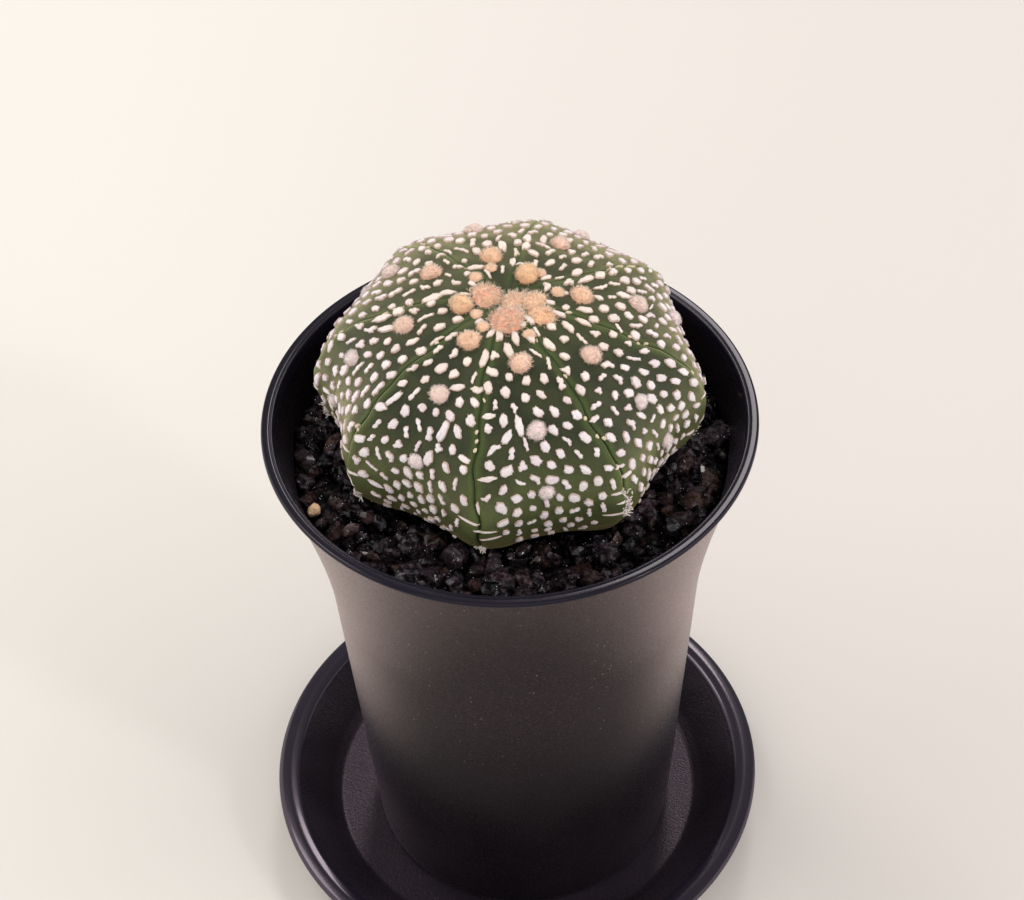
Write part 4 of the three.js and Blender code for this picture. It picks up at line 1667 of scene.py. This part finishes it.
@dataclass
class Saucer:
    """The saucer: a standing ring, a flat floor, a sloping wall and a broad rolled lip."""

    centre: Array
    edge_radius: float
    crest: float
    lip_width: float = 6.2
    lip_rise: float = 0.8
    floor_radius: float = 44.5
    floor_height: float = 4
    foot_radius: float = 43.4
    foot_width: float = 4
    foot_height: float = 1.4
    wall: float = 2.4
    sides: int = 240

    def build(self) -> bpy.types.Object:
        """The saucer in its plastic."""
        edge = self.crest - self.lip_rise
        lip = self.edge_radius - self.lip_width
        foot = self.foot_radius - self.foot_width
        corners = [
            (0, self.foot_height), (foot - 0.6, self.foot_height), (foot, 0), (self.foot_radius, 0),
            (self.foot_radius + 1.8, 1), (lip + 0.6, edge - self.wall - 1.2),
            (self.edge_radius - 1, edge - 1.4),
            (self.edge_radius, edge), (self.edge_radius - 0.8, self.crest - 0.3),
            (self.edge_radius - self.lip_width / 2, self.crest), (lip + 1, self.crest - 0.4),
            (lip, self.crest - 1.2), (self.floor_radius + 2.1, self.floor_height + 1.4),
            (self.floor_radius, self.floor_height), (0, self.floor_height),
        ]
        finish = MouldedPlastic("saucer_plastic", linear(25, 21, 27), linear(34, 29, 35), edge * MM,
                                shine=0.3)
        round_shape = lathe(eased(corners, 0.7, 5), self.centre, self.sides)
        round_shape.marks["inside"] = np.zeros(len(round_shape.points))
        piece = round_shape.made("round_saucer", finish.made())
        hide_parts("saucer")
        return piece


@dataclass
class GritBed:
    """The black top dressing: a dark uneven bed and the loose grains that lie on it, in layers.

    Lengths are in millimetres; the pale grain's place is counted from the pot's axis.
    """

    pot: Pot
    body: Body
    bottom: float
    level: float
    grains: int = 600
    grain_radius: float = 2.35
    radius_limits: tuple[float, float] = (1.2, 4.4)
    ring: tuple[float, float] = (26, 49)
    layers: int = 3
    layer_depth: float = 1.5
    columns: int = 160
    planes: int = 10
    tries: int = 12
    bed_depth: float = 2.2
    wall_gap: float = 0.35
    pale_at: tuple[float, float] = (-41.2, -18.2)
    pale_radius: float = 1.6

    def build_bed(self, grit: bpy.types.Material) -> bpy.types.Object:
        """The bed under the grains: a closed ring between the body's belly and the pot's bore, its
        top rippled.

        Args:
            grit: the finish.

        Returns:
            The piece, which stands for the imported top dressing.
        """
        turn = np.arange(self.columns) * TAU / self.columns
        way = np.stack([np.cos(turn), np.sin(turn)], -1)
        top = self.level - self.bed_depth
        reaches = [self.body.radius_towards(turn, np.full(self.columns, height)) + gap
                   for height, gap in ((top, 0.4), (self.bottom, 0.6))]
        inner_top, inner_low = (self.body.centre[:2] + way * reach[:, None] for reach in reaches)
        outward = unit(inner_top - self.pot.centre[:2])
        outer = [float(self.pot.bore(height)) - self.wall_gap for height in (top, self.bottom)]
        outer_top, outer_low = (self.pot.centre[:2] + outward * reach for reach in outer)
        shares = np.linspace(0, 1, 9)[:, None, None]
        over = outer_top + (inner_top - outer_top) * shares
        places = np.concatenate([over, np.full((*over.shape[:2], 1), top)], -1)
        places[..., 2] += 0.7 * ripples(places, 31, 6)
        flat = np.full(self.columns, self.bottom)
        low = [np.column_stack([ring, flat])[None] for ring in (inner_low, outer_low)]
        rows = np.concatenate([*low, places])
        count = self.columns * len(rows)
        faces = net(len(rows) + 1, self.columns) % count
        bed = Surface(rows.reshape(-1, 3), [faces], {"tone": np.full(count, 0.1)})
        piece = bed.made("grit_bed", grit)
        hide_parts("gravel_top_dressing")
        return piece

    def scattered(self, draw: np.random.Generator) -> tuple[Array, Array]:
        """Where the grains lie and how big they are.

        Each grain takes the best of some tries: clear of the pot and of the body, and far from
        earlier grains over the sum of the radii; big grains are laid first, the small ones fill in.

        Args:
            draw: the random numbers.

        Returns:
            Places (grains, 3) and radii.
        """
        radii = draw.lognormal(math.log(self.grain_radius), 0.3, self.grains)
        radii = np.sort(radii.clip(*self.radius_limits))[::-1]
        near, far = (reach**2 for reach in self.ring)
        places = np.zeros((self.grains, 3))
        for i, radius in enumerate(radii):
            layer = self.level - radius * 0.5 - (i % self.layers) * self.layer_depth
            layer = layer + draw.normal(0, 0.3, self.tries)
            turn = draw.uniform(0, TAU, self.tries)
            reach = np.sqrt(draw.uniform(near, far, self.tries))
            spot = self.pot.centre[:2] + np.stack([np.cos(turn), np.sin(turn)], -1) * reach[:, None]
            from_wall = self.pot.bore(layer) - reach - radius * 0.85
            off = spot - self.body.centre[:2]
            azimuth = np.arctan2(off[:, 1], off[:, 0])
            belly = self.body.radius_towards(azimuth, layer + radius * 0.6)
            from_body = np.hypot(off[:, 0], off[:, 1]) - belly - radius * 0.8
            tries = np.column_stack([spot, layer])
            gaps = np.linalg.norm(tries[:, None] - places[None, :i], axis=-1) / (radius + radii[:i])
            crowd = gaps.min(1) if i else np.full(self.tries, 2.0)
            score = np.minimum(crowd, 0.9) + 3 * np.minimum(0, np.minimum(from_wall, from_body))
            places[i] = tries[int(score.argmax())]
        return places, radii

    def build_grains(self, grit: bpy.types.Material) -> bpy.types.Object:
        """The loose grains: a fine ball cut flat by random planes, so that the reach in a direction is
        the smallest of height over cosine of all planes, then squeezed and turned at random.

        Args:
            grit: the finish.

        Returns:
            The piece.
        """
        draw = np.random.default_rng(77)
        places, radii = self.scattered(draw)
        ball, triangles = icosphere()
        normals = unit(draw.normal(size=(self.grains, self.planes, 3)))
        cuts = draw.uniform(0.5, 0.88, (self.grains, self.planes, 1))
        facing = normals @ ball.T
        reach = np.where(facing > 0.15, cuts / np.maximum(facing, 0.15), 1.25).min(1)
        reach = np.minimum(reach, 1.2) * (1 + 0.02 * draw.normal(size=reach.shape))
        squeeze = draw.uniform([0.95, 0.7, 0.55], [1.35, 1.05, 0.9], (self.grains, 3))
        pale = int(np.hypot(*(places[:, :2] - self.pot.centre[:2] - self.pale_at).T).argmin())
        places[pale] = [*(self.pot.centre[:2] + self.pale_at), self.level + 0.2]
        radii[pale], squeeze[pale] = self.pale_radius, (1.1, 0.95, 0.9)
        stone = ball[None] * reach[..., None] * squeeze[:, None] * radii[:, None, None]
        axis = unit(draw.normal(size=(self.grains, 3)) * (0.35, 0.35, 1.0))
        turned = around_of(*across_of(axis), draw.uniform(0, TAU, (self.grains, 1)))
        points = stone @ np.stack([turned, np.cross(axis, turned), axis], 1) + places[:, None]
        tone = draw.uniform(0, 0.96, (self.grains, 1))
        tone[pale] = 1.0
        marks = {"tone": np.broadcast_to(tone, (self.grains, len(ball)))}
        piece = Surface.repeated(points, [triangles], marks).made("grit_grains", grit, smooth=False)
        return piece

    def build(self) -> None:
        """Bed and grains."""
        grit = LavaGrit(self.level * MM).made()
        self.build_bed(grit)
        self.build_grains(grit)


def icosphere() -> tuple[Array, Array]:
    """A unit ball of 80 triangles: an icosahedron, each face cut in four and its new corners pushed
    out to the ball.

    Returns:
        (42, 3) points and (80, 3) faces that face outwards.
    """
    golden = (1 + math.sqrt(5)) / 2
    pairs = np.array([(-1, golden), (1, golden), (-1, -golden), (1, -golden)])
    flat = np.column_stack([pairs, np.zeros(4)])
    corners = unit(np.concatenate([np.roll(flat, shift, 1) for shift in range(3)]))
    apart = np.linalg.norm(corners[:, None] - corners[None], axis=-1)
    joined = (apart < 1.1) & (apart > 0)
    i, j, k = np.meshgrid(*[np.arange(12)] * 3, indexing="ij")
    wanted = joined[i, j] & joined[j, k] & joined[i, k] & (i < j) & (j < k)
    faces = np.stack([i[wanted], j[wanted], k[wanted]], -1)
    middles = np.sort(np.concatenate([faces[:, [0, 1]], faces[:, [1, 2]], faces[:, [0, 2]]]), 1)
    edges, place = np.unique(middles, axis=0, return_inverse=True)
    points = np.concatenate([corners, unit(corners[edges].mean(1))])
    ab, bc, ca = (12 + place.reshape(3, -1))
    a, b, c = faces.T
    small = np.concatenate([np.stack(t, -1) for t in ((a, ab, ca), (ab, b, bc), (ca, bc, c), (ab, bc, ca))])
    p, q, r = points[small[:, 0]], points[small[:, 1]], points[small[:, 2]]
    inward = (np.cross(q - p, r - p) * (p + q + r)).sum(-1) < 0
    small[inward] = small[inward][:, ::-1]
    return points, small


@dataclass(frozen=True)
class HiddenFill:
    """What fills the pot under the grit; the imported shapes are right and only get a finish."""

    finishes: tuple[tuple[str, LooseFill], ...] = (
        ("potting_soil", LooseFill("dark_soil", linear(84, 62, 46), linear(44, 32, 24), 2.4)),
        ("drainage_stones", LooseFill("pale_pumice", linear(196, 184, 164), linear(150, 138, 118), 6.0)),
    )

    def dress(self) -> None:
        """Gives the two packed fills their materials."""
        for node, finish in self.finishes:
            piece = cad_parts[node]
            piece.data.materials.clear()
            piece.data.materials.append(finish.made())
            LOG.info("%s: dressed", node)


# ---- Studio -----------------------------------------------------------------------------------


@dataclass(frozen=True)
class Lamp:
    """A soft lamp far away: where it stands as azimuth and height over the horizon in degrees, its
    light, how wide it looks in degrees, and its colour."""

    name: str
    azimuth: float
    elevation: float
    light: float
    width: float
    colour: Colour


@dataclass
class Studio:
    """Pale table, soft light and the camera."""

    eye: tuple[float, float, float] = (1.6, -330.81, 477.05)
    yaw: float = 0.0445
    pitch: float = 46.708
    roll: float = -2.2285
    lens: float = 79.1
    ambient: float = 0.51
    half_table: float = 1500
    lamps: tuple[Lamp, ...] = (
        Lamp("left_window", 168, 22, 2.45, 80, (1.0, 0.975, 0.95)),
        Lamp("back_window", 80, 44, 0.6, 13, (1.0, 0.99, 0.98)),
        Lamp("right_window", -8, 22, 2.25, 80, (1.0, 0.985, 0.97)),
        Lamp("front_window", -98, 42, 0.8, 60, (1.0, 0.985, 0.975)),
        Lamp("small_window", -36, 34, 0.42, 6, (0.96, 0.98, 1.0)),
        Lamp("far_window", 135, 58, 0.35, 12, (1.0, 1.0, 1.0)),
    )

    def build_table(self) -> None:
        """The table, a plain square far bigger than the view."""
        corners = np.array([[-1, -1, 0], [1, -1, 0], [1, 1, 0], [-1, 1, 0]]) * self.half_table * MM
        mesh = bpy.data.meshes.new("table")
        mesh.from_pydata(corners.tolist(), [], [(0, 1, 2, 3)])
        mesh.materials.append(PaleTable().made())
        table = bpy.data.objects.new("table", mesh)
        bpy.context.scene.collection.objects.link(table)

    def build_lamps(self) -> None:
        """The even light from all round and the soft lamps."""
        world = bpy.data.worlds.new("soft_room")
        world.use_nodes = True
        light = world.node_tree.nodes["Background"]
        light.inputs["Color"].default_value = (1.0, 0.99, 0.98, 1)
        light.inputs["Strength"].default_value = self.ambient
        bpy.context.scene.world = world
        for lamp in self.lamps:
            data = bpy.data.lights.new(lamp.name, "SUN")
            data.energy, data.color, data.angle = lamp.light, lamp.colour, math.radians(lamp.width)
            sun = bpy.data.objects.new(lamp.name, data)
            turn, up = math.radians(lamp.azimuth), math.radians(lamp.elevation)
            back = np.array([math.cos(turn) * math.cos(up), math.sin(turn) * math.cos(up), math.sin(up)])
            sun.matrix_world = self.placed(*across_of(back), back, back)
            bpy.context.scene.collection.objects.link(sun)

    def build_camera(self) -> None:
        """The camera, looking down at the plant, rolled a little."""
        yaw, pitch, roll = (math.radians(a) for a in (self.yaw, self.pitch, self.roll))
        flat = math.cos(pitch)
        ahead = np.array([math.sin(yaw) * flat, math.cos(yaw) * flat, -math.sin(pitch)])
        level = np.array([math.cos(yaw), -math.sin(yaw), 0])
        over = np.cross(level, ahead)
        right, up = around_of(level, over, roll), around_of(over, -level, roll)
        data = bpy.data.cameras.new("camera")
        data.lens, data.sensor_width = self.lens, 36
        data.clip_start, data.clip_end = 0.01, 10
        camera = bpy.data.objects.new("camera", data)
        camera.matrix_world = self.placed(right, up, -ahead, np.array(self.eye) * MM)
        bpy.context.scene.collection.objects.link(camera)
        bpy.context.scene.camera = camera

    @staticmethod
    def placed(x: Array, y: Array, z: Array, place: Array) -> Matrix:
        """The matrix with these axes at this place."""
        square = np.eye(4)
        square[:3] = np.stack([x, y, z, place], 1)
        return Matrix(square.tolist())

    def build(self) -> None:
        """Everything round the object, and colours shown as they are."""
        self.build_table()
        self.build_lamps()
        self.build_camera()
        bpy.context.scene.view_settings.view_transform = "Standard"


# ---- The whole --------------------------------------------------------------------------------


def main() -> None:
    logging.basicConfig(level=logging.INFO, format="%(name)s %(message)s")
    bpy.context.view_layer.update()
    saucer_low, saucer_high = corners_of("saucer")
    pot_low, pot_high = corners_of("pot")
    Saucer((saucer_low + saucer_high) / 2, (saucer_high - saucer_low)[0] / 2, saucer_high[2]).build()
    middle = (pot_low + pot_high) / 2
    pot = Pot(middle, pot_low[2], pot_high[2], (pot_high - pot_low)[0] / 2)
    pot.build()
    body = Body(middle + (0.6, 3.0, 0), pot_high[2] + 6.4)
    cactus = Cactus(body)
    cactus.build_body()
    cactus.build_tufts()
    cactus.build_crown()
    Flecks(body, cactus.areoles()).build()
    grit_low, _ = corners_of("gravel_top_dressing")
    GritBed(pot, body, grit_low[2], pot_high[2] - 8.4).build()
    HiddenFill().dress()
    Studio().build()


if __name__ == "__main__":
    main()
